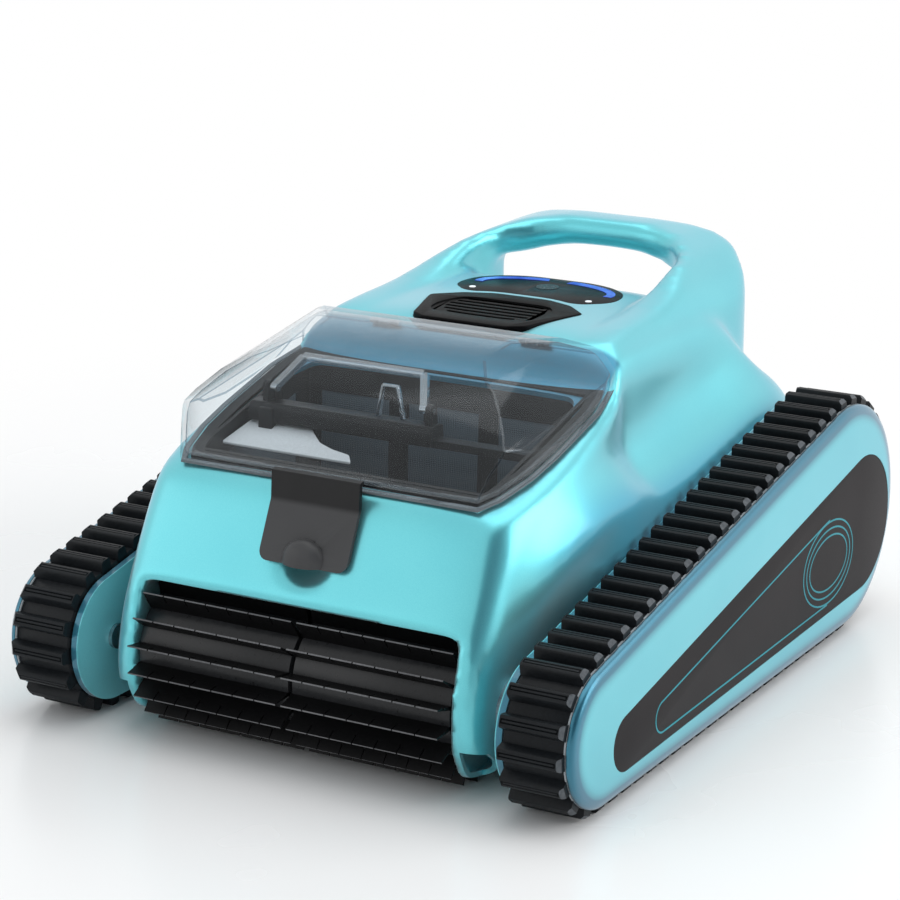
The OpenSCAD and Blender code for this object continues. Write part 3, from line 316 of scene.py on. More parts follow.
# The handle is its side view, cut to its plan and its rear view, with the hand hole, the room
# behind the dome and the way under the grip bar taken out.
handle = prism("X", -200, 200, [
    (-14, 224), (-10, 228.5), (10, 231), (67, 234), (97, 239), (127, 249), (150, 257),
    (172, 262.5), (205, 262.5), (219, 259), (225, 250), (224, 236), (220, 218), (214, 200),
    (206, 182), (198, 165), (170, 165), (120, 190), (40, 200), (-14, 200)])
combine(handle, prism("Z", 150, 300, oblong(-108, 108, -70, 227), 54, 12), "INTERSECT")
combine(handle, prism("Y", -100, 300, both([
    (111, 60), (111, 200), (107, 222), (98, 238), (84, 250), (62, 258), (34, 262),
    (12, 264)])), "INTERSECT")
combine(handle, prism("Z", 100, 300, oblong(-75, 75, -40, 180), 48, 12), "DIFFERENCE")
combine(handle, prism("Z", 100, 234, both([
    (66, 100), (75, 165), (80, 186), (97, 214), (101, 240)])), "DIFFERENCE")
combine(handle, prism("Y", 120, 300, both([
    (75, 60), (75, 208), (72, 222), (63, 232), (48, 238), (26, 241.5), (8, 242.5)])), "DIFFERENCE")
soften(handle, 3.2, 14)
combine(top_shell, handle, "UNION")

# The brush bay is open to the front and below, and round at its back.
bay = prism("Y", -260, -187, oblong(-bay_half, bay_half, -20, bay_roof), 8)
combine(bay, prism("X", -bay_half, bay_half, oblong(-187, -180, -20, bay_roof)), "UNION")


def draw_barrel(bm, radius, length, centre, upright=False, segments=64):
    """A round bar along X, or an upright one, all in mm."""
    turn = Matrix.Identity(4) if upright else Matrix.Rotation(math.pi / 2, 4, "Y")
    bmesh.ops.create_cone(bm, cap_ends=True, segments=segments, radius1=radius * MM,
                          radius2=radius * MM, depth=length * MM,
                          matrix=Matrix.Translation(Vector(centre) * MM) @ turn)


def ball(name, radius, centre, stretch, rows):
    """A ball in mm, stretched along X, Y and Z, for scoops and pockets."""
    return keep(name, lambda bm: bmesh.ops.create_uvsphere(
        bm, u_segments=32, v_segments=rows, radius=radius * MM,
        matrix=Matrix.Translation(Vector(centre) * MM) @ Matrix.Diagonal((*stretch, 1))))


combine(bay, keep("barrel", lambda bm: draw_barrel(bm, 54, 2 * bay_half, brush_at)), "UNION")
combine(top_shell, bay, "DIFFERENCE")
combine(top_shell, ball("finger_pocket", 17, (0, -212.4, 127), (1.2, 1, 0.95), 16), "DIFFERENCE")
soften(top_shell, 3.4, 9)
change(top_shell, "SOLIDIFY", thickness=shell_wall * MM, offset=-1.0)

lid_outline = both([(105, -181), (113, -166), (119, -139), (121, -111), (121, -56), (115, -25)])
lid_opening = both([(97, -172), (104, -162), (110, -137), (112, -110), (111, -78), (95, -41)])
grille_outline = both([(30, -15), (42, -7), (57.5, 42), (40, 58), (20, 65)])
display_outline = both([(20, 69), (42, 62), (60, 80), (58, 102), (45, 117), (24, 125)])
# The openings for the lid, the grille and the display, a step in each front corner that leaves
# room for the belt, and the open underside.
combine(top_shell, prism("Z", 120, 300, lid_opening, 6), "DIFFERENCE")
combine(top_shell, prism("Z", 218, 240, grille_outline, 3), "DIFFERENCE")
combine(top_shell, prism("Z", 218, 240, display_outline, 9, 6), "DIFFERENCE")
for x0, x1 in ((118, 136), (-136, -118)):
    combine(top_shell, prism("X", x0, x1, [(-262, -10), (-198, -10), (-198, 14), (-204, 24),
                                           (-213, 31), (-226, 34), (-262, 34)]), "DIFFERENCE")
combine(top_shell, prism("Z", -60, 58, oblong(-200, 200, -150, 300)), "DIFFERENCE")


def pearl_paint(name, rim=None, seat=False, flakes=0.8):
    """Metal flakes under a clear coat. A rim says at which distance from X = 0 the colour is
    still the painted shade of an edge, and at which it is plain. A seat paints shade on the
    lid's seat and on the fenders beside the belts, which also have fewer flakes."""
    material, place = new_material(name)
    flake = place.noise(2600.0, 1.0)
    cloud = place.noise(9.0)
    tint = (cloud * 0.5 + flake * 0.5).ramp(0.35, 0.65).mix(rgb(88, 193, 204), rgb(102, 204, 212))
    across, along, up = (place.part(axis) for axis in "XYZ")
    across = across.math("ABSOLUTE", across)
    painted_rim_shade, painted_seat_shade, painted_fender_shade = rgb(0, 104, 128), rgb(0, 116, 146), rgb(0, 150, 180)
    # Painted shade along an edge: the cover's rounded rim towards the belt, and the frame's outer
    # side between the cleats.
    if rim:
        tint = across.ramp(*rim).mix(painted_rim_shade, tint)
    # Painted shade on the lid's seat under the dome's rear, and on the fenders beside the belts.
    if seat:
        rear_half = along.ramp(-0.095, -0.09) * along.ramp(-0.01, -0.014)
        under_lid_shade = rear_half * across.ramp(0.115, 0.11) * up.ramp(0.229, 0.223)
        fender = across.ramp(0.132, 0.15)
        tint = fender.mix(under_lid_shade.mix(tint, painted_seat_shade), painted_fender_shade)
        flakes = flakes - fender * 0.6
    paint = place.node("ShaderNodeBsdfPrincipled", {}, {
        "Base Color": tint, "Metallic": flakes, "Roughness": 0.3 + flake * 0.08,
        "Specular Tint": rgb(130, 210, 240), "Coat Weight": 0.8, "Coat Roughness": 0.2,
        "Sheen Weight": 0.3, "Sheen Roughness": 0.6,
        "Normal": place.noise(220.0).bump(0.0002, 0.05)})
    place.node("ShaderNodeOutputMaterial", {}, {0: paint})
    return material


def fit(piece, materials, body, *replaced, crease=50):
    """Gives a piece its materials and its body, and hides the nodes that it stands for. Edges
    that turn by more than the crease, in degrees, stay sharp."""
    materials = materials if isinstance(materials, tuple) else (materials,)
    while len(piece.data.materials) < len(materials):
        piece.data.materials.append(None)
    for slot, material in enumerate(materials):
        piece.data.materials[slot] = material
    piece.data.shade_smooth()
    piece.data.set_sharp_from_angle(angle=math.radians(crease))
    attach(piece, body)
    if replaced:
        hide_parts(*replaced)


# The shell's paint carries painted shade on the lid's seat and on the fenders beside the belts.
fit(top_shell, pearl_paint("shell_turquoise", seat=True), "base", "top_shell")


# ---------- Lid ----------
# A clear moulded dome with a flat rim, a rubber seal under the rim, steel hinge pins at the
# back, and a black latch with a finger scoop that hangs from its front edge.

def clear_plastic(name, tint, veil):
    """Thin clear plastic: it shows what is behind it, tinted, and mirrors more where it is seen
    edge on. A veil is how much it mirrors where it is seen square on. Right at its outline the
    mirror turns dark grey, a painted shade."""
    material, place = new_material(name)
    facing = place.node("ShaderNodeLayerWeight", {}, {"Blend": 0.5}, "Facing")
    slant = facing.math("POWER", facing, 5.0)
    # Painted shade: the mirror turns dark grey right at the outline.
    edge = facing.ramp(0.93, 0.99)
    smear = place.noise(24.0)
    see_through = place.node("ShaderNodeBsdfTransparent", {}, {"Color": tint})
    sheen = smear.mix(rgb(222, 228, 232), rgb(240, 243, 246))
    gloss = place.node("ShaderNodeBsdfPrincipled", {}, {
        "Base Color": edge.mix(sheen, rgb(92, 112, 124)), "Metallic": 1.0,
        "Roughness": 0.05 + smear * 0.04})
    shown = place.node("ShaderNodeMixShader", {}, {
        0: slant * (0.75 + smear * 0.2) + veil, 1: see_through, 2: gloss})
    place.node("ShaderNodeOutputMaterial", {}, {0: shown})
    return material


clear_lid = clear_plastic("clear_lid", rgb(250, 252, 253), 0.02)
# The greyer, more mirroring plastic on the strips between the dome's facets is painted shade.
clear_edge = clear_plastic("clear_edge", rgb(190, 203, 211), 0.06)


def seat_band(low, high):
    """The slab between two heights over the seat of the lid, which slopes down to the front."""
    front_height, back_height = 145.3, 220.8
    return prism("X", -200, 200, [(-260, front_height + low), (40, back_height + low),
                                  (40, back_height + high), (-260, front_height + high)])


def grown(outline, distance):
    """An outline with each side moved by a distance: outwards where it runs anticlockwise, and
    inwards where it runs clockwise."""
    count = len(outline)
    moved = []
    for i, here in enumerate(outline):
        before, here, after = (Vector(outline[(i + k) % count]) for k in (-1, 0, 1))
        first, second = ((b - a).normalized() for a, b in ((before, here), (here, after)))
        first_out, second_out = (Vector((edge.y, -edge.x)) for edge in (first, second))
        shift = (first_out + second_out) / (1 + first_out.dot(second_out))
        moved.append(tuple(here + shift * distance))
    return moved


dome_side = [(-181, 100), (-181, 172), (-173, 188), (-160, 203), (-144, 217), (-124, 229),
             (-100, 237), (-70, 240.5), (-43, 238), (-28, 231), (-25, 228), (-25, 100)]
dome_front = both([(123, 60), (123, 172), (122, 190), (117, 203), (109, 213), (99, 222),
                   (87, 228.5), (66, 235), (35, 239.5), (13, 241.5)])
shoulder_crest = Vector((0, -108, 215)) * MM
shoulder_fall = math.radians(8)
dome_wall = 2.6
lid_hinge_at = (-18.5, 226)
latch_pin_at = (-184.8, 169)


def bevelled(piece, width, segments=3, angle=0.6, slot=-1):
    """Rounds the edges that turn by more than an angle, by a width in mm. The rounded strips
    keep the finish beside them, or take the one in a slot."""
    change(piece, "BEVEL", width=width * MM, segments=segments, limit_method="ANGLE",
           angle_limit=angle, material=slot)
    return piece


def dome_solid(inset):
    """What the dome's outer or inner face encloses. Greyer strips round off its facets:
    painted shade where the facets turn.
    """
    solid = prism("X", -150 + inset, 150 - inset, grown(dome_side, inset))
    shoulders = prism("Y", -300, 200, grown(dome_front, -inset))
    shoulders.data.transform(
        Matrix.Translation(shoulder_crest) @ Matrix.Rotation(shoulder_fall, 4, "X")
        @ Matrix.Translation(-shoulder_crest))
    combine(solid, shoulders, "INTERSECT")
    combine(solid, prism("Z", 0, 400, grown(lid_outline, -inset)), "INTERSECT")
    for finish in (clear_lid, clear_edge):
        solid.data.materials.append(finish)
    return bevelled(solid, 3, angle=0.3, slot=1)


dome = dome_solid(0)
combine(dome, dome_solid(dome_wall), "DIFFERENCE")
combine(dome, seat_band(-300, 2.4), "DIFFERENCE")
rim = seat_band(1.4, 4.2)
combine(rim, prism("Z", 0, 400, grown(lid_outline, -0.2), 5), "INTERSECT")
combine(rim, prism("Z", 0, 400, grown(lid_outline, -8.2), 5), "DIFFERENCE")
combine(dome, bevelled(rim, 0.8, 2, angle=math.radians(30)), "UNION")
knuckle_places = (-55, 55)
combine(dome, keep("knuckles", lambda bm: [
    draw_barrel(bm, 4.5, 14, (x, *lid_hinge_at)) for x in knuckle_places]), "UNION")
for x in knuckle_places:
    combine(dome, prism("Z", 223, 229, oblong(x - 7, x + 7, -28, -19)), "UNION")
dome.name = "lid_dome"
fit(dome, (clear_lid, clear_edge), "lid", "lid")


def moulded_plastic(name, dark, pale, rough, grain=900.0, depth=0.0001, shine=0.14):
    """Plastic from an etched mould: a fine grain in its height, and a faint cloud in its colour."""
    material, place = new_material(name)
    fine = place.noise(grain, 2.0)
    tint = (place.noise(14.0) * 0.6 + fine * 0.4).ramp(0.3, 0.7).mix(dark, pale)
    skin = place.node("ShaderNodeBsdfPrincipled", {}, {
        "Base Color": tint, "Roughness": rough + (fine - 0.5) * 0.16, "Specular IOR Level": shine,
        "Normal": fine.bump(depth, 0.5)})
    place.node("ShaderNodeOutputMaterial", {}, {0: skin})
    return material


def turned_metal(name, dark, pale, rough):
    """Metal with the fine lines of a lathe, for bars along X."""
    material, place = new_material(name)
    rings = place.node("ShaderNodeMapping", {}, {"Vector": place, "Scale": (2500.0, 60.0, 60.0)})
    lines = rings.noise(1.0, 2.0)
    metal = place.node("ShaderNodeBsdfPrincipled", {}, {
        "Base Color": lines.mix(dark, pale), "Metallic": 1.0, "Roughness": rough + lines * 0.12,
        "Normal": lines.bump(0.00003, 0.4)})
    place.node("ShaderNodeOutputMaterial", {}, {0: metal})
    return material


def paint_nodes(material, *names):
    """Gives CAD nodes that need no new shape their material."""
    for name in names:
        cad[name].data.materials.clear()
        cad[name].data.materials.append(material)


seal_rubber = moulded_plastic("seal_rubber", rgb(96, 102, 106), rgb(112, 118, 122), 0.6, 500.0)
steel = turned_metal("steel", rgb(150, 152, 155), rgb(200, 202, 205), 0.2)
paint_nodes(seal_rubber, "lid_seal")
paint_nodes(steel, "lid_hinge_pins", "latch_pin")

latch = prism("X", -31, 31, [(-186.2, 173.2), (-187.2, 175.2), (-190.6, 174.4), (-191.6, 172.6),
                             (-192.8, 157), (-208.9, 123), (-205.9, 123), (-189.6, 157.8),
                             (-188.4, 172)])
combine(latch, prism("Y", -260, -150, oblong(-31, 31, 123, 200), 6, 5), "INTERSECT")
scoop = ball("scoop", 15, (0, -205, 124), (1, 0.62, 1), 24)
combine(scoop, prism("Z", 80, 123.4, oblong(-40, 40, -260, -160)), "DIFFERENCE")
combine(latch, scoop, "UNION")
combine(latch, ball("hollow", 12.6, (0, -204, 122), (1, 0.62, 1), 24), "DIFFERENCE")
lug_places = (-19.7, 19.7)
lugs = keep("lugs", lambda bm: [
    draw_barrel(bm, 3, 8.6, (x, *latch_pin_at), segments=32) for x in lug_places])
for x in lug_places:
    combine(lugs, prism("Z", 167, 171, oblong(x - 4.3, x + 4.3, -189, -185)), "UNION")
combine(latch, lugs, "UNION")
bevelled(latch, 0.7)
latch.name = "latch_plate"


def latch_finish(name):
    """Black plastic, painted paler below the crease: painted light on the lower face, which tilts
    up.
    """
    material, place = new_material(name)
    grain = place.noise(700.0, 2.0)
    # Painted light: below the crease the plastic is painted paler, as if lit from above.
    worn = place.part("Z").ramp(0.1545, 0.159).mix(rgb(66, 66, 67), rgb(14, 14, 15))
    skin = place.node("ShaderNodeBsdfPrincipled", {}, {
        "Base Color": (place.noise(30.0) * 0.16).mix(worn, rgb(90, 90, 92)),
        "Roughness": 0.3 + grain * 0.12, "Specular IOR Level": 0.2,
        "Normal": grain.bump(0.0001, 0.4)})
    place.node("ShaderNodeOutputMaterial", {}, {0: skin})
    return material


fit(latch, latch_finish("latch_plastic"), "latch", "latch")


# ---------- Deck ----------
# The water outlet's grille, the glossy display with its two blue light bars and two status
# lights, and the power button, all set into the deck behind the lid.

grille = bevelled(prism("Z", 227.8, 232.2, grown(grille_outline, -0.4), 3), 1.2)
combine(grille, prism("Z", 231.2, 236, both([
    (30, 2), (38, 8), (41, 25), (36, 42), (28, 48)]), 6, 6), "DIFFERENCE")
slot_width = 3.6
# Six slots: the ends of the front one bend back, and the ends of the rear one bend forward.
for i, reach in enumerate((25, 31, 34, 35, 33, 28)):
    y = 5.5 + 7.6 * i
    bow = 1.6 - 0.5 * i
    combine(grille, prism("Z", 220, 236, [
        (-reach, y + bow), (-reach / 2, y + bow * 0.2), (reach / 2, y + bow * 0.2),
        (reach, y + bow), (reach, y + bow + slot_width), (reach / 2, y + slot_width),
        (-reach / 2, y + slot_width), (-reach, y + bow + slot_width)], 1.4, 3), "DIFFERENCE")
grille.name = "outlet_grille_bars"
grille_plastic = moulded_plastic("grille_plastic", rgb(8, 8, 9), rgb(15, 15, 16), 0.45, 700.0,
                                 shine=0.04)
fit(bevelled(grille, 0.35, 2), grille_plastic, "base", "outlet_grille")

display = prism("Z", 226, 231.3, grown(display_outline, -0.4), 9, 6)
combine(display, keep("button_hole", lambda bm: draw_barrel(
    bm, 8.3, 30, (0, 101, 230), upright=True, segments=48)), "DIFFERENCE")
display.name = "display_glass"


def display_glass(name):
    """Blue-black glass, greyer in its middle, round the button."""
    material, place = new_material(name)
    middle = (0, 0.098, 0.23)
    spread = place.node("ShaderNodeVectorMath", {"operation": "DISTANCE"},
                        {0: place, 1: middle}, "Value")
    tint = spread.ramp(0.014, 0.03).mix(rgb(34, 35, 38), rgb(5, 7, 12))
    glass = place.node("ShaderNodeBsdfPrincipled", {}, {
        "Base Color": tint, "Roughness": 0.22 + place.noise(40.0) * 0.06,
        "Specular IOR Level": 0.03})
    place.node("ShaderNodeOutputMaterial", {}, {0: glass})
    return material


fit(bevelled(display, 0.8), display_glass("display_glass"), "base", "display_panel")


def lit(name, dark, pale, strength):
    """A small light behind a clear cover, a little brighter in places."""
    material, place = new_material(name)
    tint = place.noise(60.0).ramp(0.3, 0.7).mix(dark, pale)
    lamp = place.node("ShaderNodeBsdfPrincipled", {}, {
        "Base Color": tint, "Roughness": 0.15 + place.noise(300.0) * 0.05, "Emission Color": tint,
        "Emission Strength": strength})
    place.node("ShaderNodeOutputMaterial", {}, {0: lamp})
    return material


paint_nodes(lit("blue_light", rgb(40, 66, 190), rgb(84, 116, 232), 0.25), "light_bars")
paint_nodes(lit("white_light", rgb(236, 240, 246), rgb(252, 253, 255), 0.3), "status_lights")
paint_nodes(moulded_plastic("button_plastic", rgb(30, 34, 40), rgb(38, 42, 48), 0.25, 500.0),
            "power_button")


# ---------- Side covers ----------
# A turquoise cover over the outer side of each track, with a dark panel let into it and thin
# coloured lines on the panel. Each cover is the skin round two stacks of discs.

front_wheel_at = Vector((-196, 49))
rear_wheel_at = Vector((162, 83))


def disc_skin(side, layers, centres=(front_wheel_at, rear_wheel_at), segments=128):
    """The skin round discs at two centres. Each layer is X, the front radius and the rear one."""
    def draw(bm):
        for x, *radii in layers:
            for centre, radius in zip(centres, radii):
                bmesh.ops.create_circle(bm, radius=radius * MM, segments=segments, matrix=(
                    Matrix.Translation(Vector((side * x, *centre)) * MM)
                    @ Matrix.Rotation(math.pi / 2, 4, "Y")))
        skin = bmesh.ops.convex_hull(bm, input=bm.verts)
        inside = [v for v in {*skin["geom_interior"], *skin["geom_unused"]}
                  if isinstance(v, bmesh.types.BMVert)]
        bmesh.ops.delete(bm, geom=inside, context="VERTS")
        loose = [e for e in bm.edges if not e.link_faces]
        bmesh.ops.delete(bm, geom=loose, context="EDGES")
    return keep("disc_skin", draw)


def panel_solid(side, layers):
    """The same, round the smaller discs at the ends of the panel."""
    return disc_skin(side, layers, ((-172, 38), (182, 74)), 96)


panel_plastic = moulded_plastic("panel_plastic", rgb(38, 36, 37), rgb(48, 45, 46), 0.6)
# Painted shade: the cover's rounded edges, in from its outer face towards the belt, are a deeper
# blue.
cover_paint = pearl_paint("cover_turquoise", (0.1992, 0.2))
line_paint = moulded_plastic("line_paint", rgb(40, 128, 140), rgb(52, 146, 158), 0.4)
sides = (("left", -1), ("right", 1))
for name, side in sides:
    cover = disc_skin(side, ((194.5, 42.5, 76.5), (196.6, 42.5, 76.5), (198, 41, 75),
                             (198.9, 38.5, 72.5), (199.5, 35.5, 69.5), (199.8, 32, 66),
                             (200, 28, 62)))
    combine(cover, panel_solid(side, ((198.4, 17.6, 47.1), (203, 17.6, 47.1))), "DIFFERENCE")
    cover.name = "side_cover_" + name + "_paint"
    fit(cover, cover_paint, "base", "side_cover_" + name)
    panel = bevelled(panel_solid(side, ((197.9, 17.3, 46.8), (199.85, 17.3, 46.8))), 0.5, 2)
    panel.name = "side_panel_" + name + "_plate"
    fit(panel, panel_plastic, "base", "side_panel_" + name)
    paint_nodes(line_paint, "trim_lines_" + name)


# ---------- Track belts ----------
# Rubber belts round the wheels: a band with 64 cleats across it. A cleat is a bevelled block
# with a groove round its top, and its outer end is chamfered down to a smooth face that is
# painted pale as a highlight.

cleat_rubber = moulded_plastic("cleat_rubber", rgb(20, 22, 24), rgb(30, 33, 36), 0.4, 500.0, 0.0002)
# The cleats' chamfered ends are painted pale as a highlight.
cleat_end_highlight = moulded_plastic("cleat_ends_highlight", rgb(64, 68, 72), rgb(96, 100, 104), 0.35, 500.0, 0.0001)
seam_rubber = moulded_plastic("belt_seam", rgb(128, 134, 138), rgb(160, 166, 170), 0.4, 700.0)
cleat_count = 64
cleat_height = 7
belt_middle = 173.5
belt_radii = (front_wheel_at.y - cleat_height, rear_wheel_at.y - cleat_height)


def along_track(share):
    """Where the belt's face is at a share of its length, and the angle of its outward side."""
    span = rear_wheel_at - front_wheel_at
    front_radius, rear_radius = belt_radii
    lean = math.asin((rear_radius - front_radius) / span.length)
    heading = math.atan2(span.y, span.x)
    top, low = heading + math.pi / 2 + lean, heading - math.pi / 2 - lean
    run = math.sqrt(span.length ** 2 - (rear_radius - front_radius) ** 2)
    rear_arc = rear_radius * (top - low)
    front_arc = front_radius * (2 * math.pi - top + low)
    distance = share * (2 * run + rear_arc + front_arc)
    if distance < run:
        centre, radius, angle, slide = front_wheel_at, front_radius, top, distance
    elif distance < run + rear_arc:
        centre, radius, slide = rear_wheel_at, rear_radius, 0
        angle = top - (distance - run) / rear_radius
    elif distance < 2 * run + rear_arc:
        centre, radius, angle, slide = rear_wheel_at, rear_radius, low, distance - run - rear_arc
    else:
        centre, radius, slide = front_wheel_at, front_radius, 0
        angle = low - (distance - 2 * run - rear_arc) / front_radius
    out = Vector((math.cos(angle), math.sin(angle)))
    return centre + out * radius + Vector((out.y, -out.x)) * slide, angle


def draw_cleats(bm, side):
    """Draws one cleat in mm, and copies it to each of its places round the belt."""
    block = bmesh.new()
    bmesh.ops.create_cube(block, size=1)
    bmesh.ops.scale(block, vec=(40.6, 10.6, 8.6), verts=block.verts)
    half_way = 2.5
    bmesh.ops.translate(block, vec=(0, 0, half_way), verts=block.verts)
    top = [v for v in block.verts if v.co.z > half_way]
    bmesh.ops.scale(block, vec=(1, 0.72, 1), verts=top)
    # The outer end's chamfer takes slot 1, the pale finish: a painted highlight.
    outer = [e for e in block.edges
             if all(v.co.z > half_way and v.co.x * side > 0 for v in e.verts)]
    bmesh.ops.bevel(block, geom=outer, affect="EDGES", offset=2.4, segments=1, profile=0.5,
                    material=1)
    long_edges = [e for e in block.edges
                  if e.calc_length() > 20 and all(v.co.z > half_way for v in e.verts)]
    bmesh.ops.bevel(block, geom=long_edges, affect="EDGES", offset=1.6, segments=2, profile=0.5,
                    material=-1)
    face = max(block.faces, key=lambda f: f.calc_center_median().z + f.normal.z * 4)
    for thickness, depth in ((0.9, 0), (0.7, -0.9), (0.7, 0.9)):
        bmesh.ops.inset_region(block, faces=[face], thickness=thickness, depth=depth)
    mesh = bpy.data.meshes.new("cleat")
    block.to_mesh(mesh)
    block.free()
    for i in range(cleat_count):
        place_at, angle = along_track((i + 0.5) / cleat_count)
        before = len(bm.verts)
        bm.from_mesh(mesh)
        bm.verts.ensure_lookup_table()
        turn = (Matrix.Translation(Vector((side * belt_middle, *place_at)) * MM)
                @ Matrix.Rotation(angle - math.pi / 2, 4, "X") @ Matrix.Scale(MM, 4))
        bmesh.ops.transform(bm, matrix=turn, verts=bm.verts[before:])
    bpy.data.meshes.remove(mesh)


for name, side in sides:
    belt = disc_skin(side, ((153.2, 40.8, 74.8), (154.2, 42, 76), (192.6, 42, 76),
                            (193.8, 40.8, 74.8)))
    combine(belt, disc_skin(side, ((140, 38, 72), (210, 38, 72))), "DIFFERENCE")
    belt.name = "track_band_" + name
    cleats = keep("track_cleats_" + name, lambda bm: draw_cleats(bm, side))
    seam = disc_skin(side, ((192.9, 42.6, 76.6), (194, 42.6, 76.6)))
    combine(seam, disc_skin(side, ((140, 41.4, 75.4), (210, 41.4, 75.4))), "DIFFERENCE")
    seam.name = "track_seam_" + name
    fit(seam, seam_rubber, "base", "track_belt_" + name)
    fit(belt, cleat_rubber, "base", "track_belt_" + name)
    fit(cleats, (cleat_rubber, cleat_end_highlight), "base", "track_belt_" + name, crease=35)


# ---------- Floor of the body ----------
# The tray that closes the body from below, with the water inlet and its swinging flap, and the
# screws that hold the tray. Ribbed grey plastic, scuffed where it meets the pool floor.

def scuffed_plastic(name, dark, pale, worn):
    """Dull plastic with a grain, and pale scratches along the way the robot drives."""
    material, place = new_material(name)
    grain = place.noise(800.0, 2.0)
    drag = place.node("ShaderNodeMapping", {}, {"Vector": place, "Scale": (900.0, 40.0, 300.0)})
    scratch = drag.noise(1.0, 2.0).ramp(0.62, 0.72) * place.noise(22.0).ramp(0.45, 0.6)
    fresh = (grain * 0.5 + place.noise(12.0) * 0.5).ramp(0.3, 0.7).mix(dark, pale)
    skin = place.node("ShaderNodeBsdfPrincipled", {}, {
        "Base Color": scratch.mix(fresh, worn), "Roughness": 0.5 + scratch * 0.2,
        "Specular IOR Level": 0.35,
        "Normal": (grain - scratch * 0.5).bump(0.0001, 0.5)})
    place.node("ShaderNodeOutputMaterial", {}, {0: skin})
    return material


def screw_steel(name):
    """Stainless screws: fine turned lines, and a few darker flecks."""
    material, place = new_material(name)
    fine = place.node("ShaderNodeMapping", {}, {"Vector": place, "Scale": (700.0, 700.0, 3000.0)})
    rings = fine.noise(1.0, 2.0)
    fleck = place.noise(1500.0, 1.0).ramp(0.6, 0.7)
    bright = rings.mix(rgb(150, 153, 156), rgb(196, 199, 202))
    metal = place.node("ShaderNodeBsdfPrincipled", {}, {
        "Base Color": fleck.mix(bright, rgb(110, 112, 115)), "Metallic": 1.0,
        "Roughness": 0.26 + rings * 0.14, "Normal": rings.bump(0.00003, 0.4)})
    place.node("ShaderNodeOutputMaterial", {}, {0: metal})
    return material


paint_nodes(scuffed_plastic("tray_plastic", rgb(38, 43, 47), rgb(48, 54, 58), rgb(84, 90, 94)),
            "chassis_tray")
paint_nodes(moulded_plastic("flap_plastic", rgb(78, 84, 88), rgb(94, 100, 104), 0.5, 600.0),
            "inlet_flap")
paint_nodes(screw_steel("screw_steel"), "body_screws", "cover_screws", "frame_screws", "flap_pin")


# ---------- Brush ----------
# Two black rubber rollers on one steel shaft, in white bushes. Eighteen thin fins stand on each
# roller, and slits divide a fin's edge into seven teeth.

brush_rubber = moulded_plastic("brush_rubber", rgb(14, 14, 15), rgb(22, 22, 23), 0.45, 600.0)
core_rubber = moulded_plastic("core_rubber", rgb(30, 31, 33), rgb(44, 45, 47), 0.3, 300.0,
                              shine=0.3)
# Paler rubber for the fin tips: a painted highlight.
fin_tip_highlight = moulded_plastic("fin_tips_highlight", rgb(86, 86, 88), rgb(120, 120, 122), 0.4, 900.0)
roller_ends = (1.5, 110)
fin_count = 18
tooth_count = 7
fin_taper = 0.6


def draw_fin_block(bm, turn, centre, size):
    """A block that is thinner at its outer end, turned into place. Returns its outer corners."""
    cube = bmesh.ops.create_cube(bm, size=1)["verts"]
    bmesh.ops.scale(bm, vec=size, verts=cube)
    outer = [v for v in cube if v.co.z > 0]
    bmesh.ops.scale(bm, vec=(1, fin_taper, 1), verts=outer)
    bmesh.ops.translate(bm, vec=centre, verts=cube)
    bmesh.ops.transform(bm, matrix=turn, verts=cube)
    return outer


def draw_fins(bm, middle, length):
    """A roller's fins: each is a thick root along it, with a row of thin teeth whose tips
    are painted pale as a highlight.
    """
    pitch = length / tooth_count
    for i in range(fin_count):
        turn = (Matrix.Translation((brush_at + Vector((middle, 0, 0))) * MM)
                @ Matrix.Rotation(math.radians(360 / fin_count * i + 8 - 90), 4, "X")
                @ Matrix.Scale(MM, 4))
        draw_fin_block(bm, turn, (0, 0, 39), (length, 2.6, 9))
        for j in range(tooth_count):
            tip = draw_fin_block(bm, turn, ((j + 0.5) * pitch - length / 2, 0, 46.6),
                                 (pitch - 0.9, 1.56, 7.4))
            # The tips' faces take the pale finish, a painted highlight.
            for face in {f for v in tip for f in v.link_faces if all(w in tip for w in f.verts)}:
                face.material_index = 1


for name, side in sides:
    middle = side * sum(roller_ends) / 2
    length = roller_ends[1] - roller_ends[0]
    centre = (middle, brush_at.y, brush_at.z)
    fins = keep("brush_" + name + "_fins", lambda bm: draw_fins(bm, middle, length))
    core = keep("brush_" + name + "_core", lambda bm: draw_barrel(bm, 36, length, centre))
    combine(core, keep("bore", lambda bm: draw_barrel(bm, 4.2, 200, centre)), "DIFFERENCE")
    fit(bevelled(core, 1.0, 2), core_rubber, "brush", "brush_" + name)
    fit(fins, (brush_rubber, fin_tip_highlight), "brush", "brush_" + name)


# ---------- Filter basket ----------
# The black frame that catches debris under the lid, with its woven mesh walls. A pale plate
# covers its left bay, and a carrier bar holds a clear post and the clear bail that lifts it out.

def woven_mesh(name, thread, pitch):
    """A fine weave: threads run both ways over each wall, with see-through gaps between."""
    material, place = new_material(name)
    x, y, z = (place.part(axis) for axis in "XYZ")
    turns = 2 * math.pi / pitch
    first, second, upright = (
        place.math("SINE", along * turns) for along in (x + y, x - y, z))
    weave = place.math("MAXIMUM", place.math("MAXIMUM", first, second), upright)
    fuzz = place.noise(1800.0, 1.0)
    strand = place.node("ShaderNodeBsdfPrincipled", {}, {
        "Base Color": fuzz.mix(thread, rgb(96, 110, 120)), "Roughness": 0.45 + fuzz * 0.2,
        "Alpha": weave.ramp(0.2, 0.75) * 0.4 + 0.55})
    place.node("ShaderNodeOutputMaterial", {}, {0: strand})
    return material


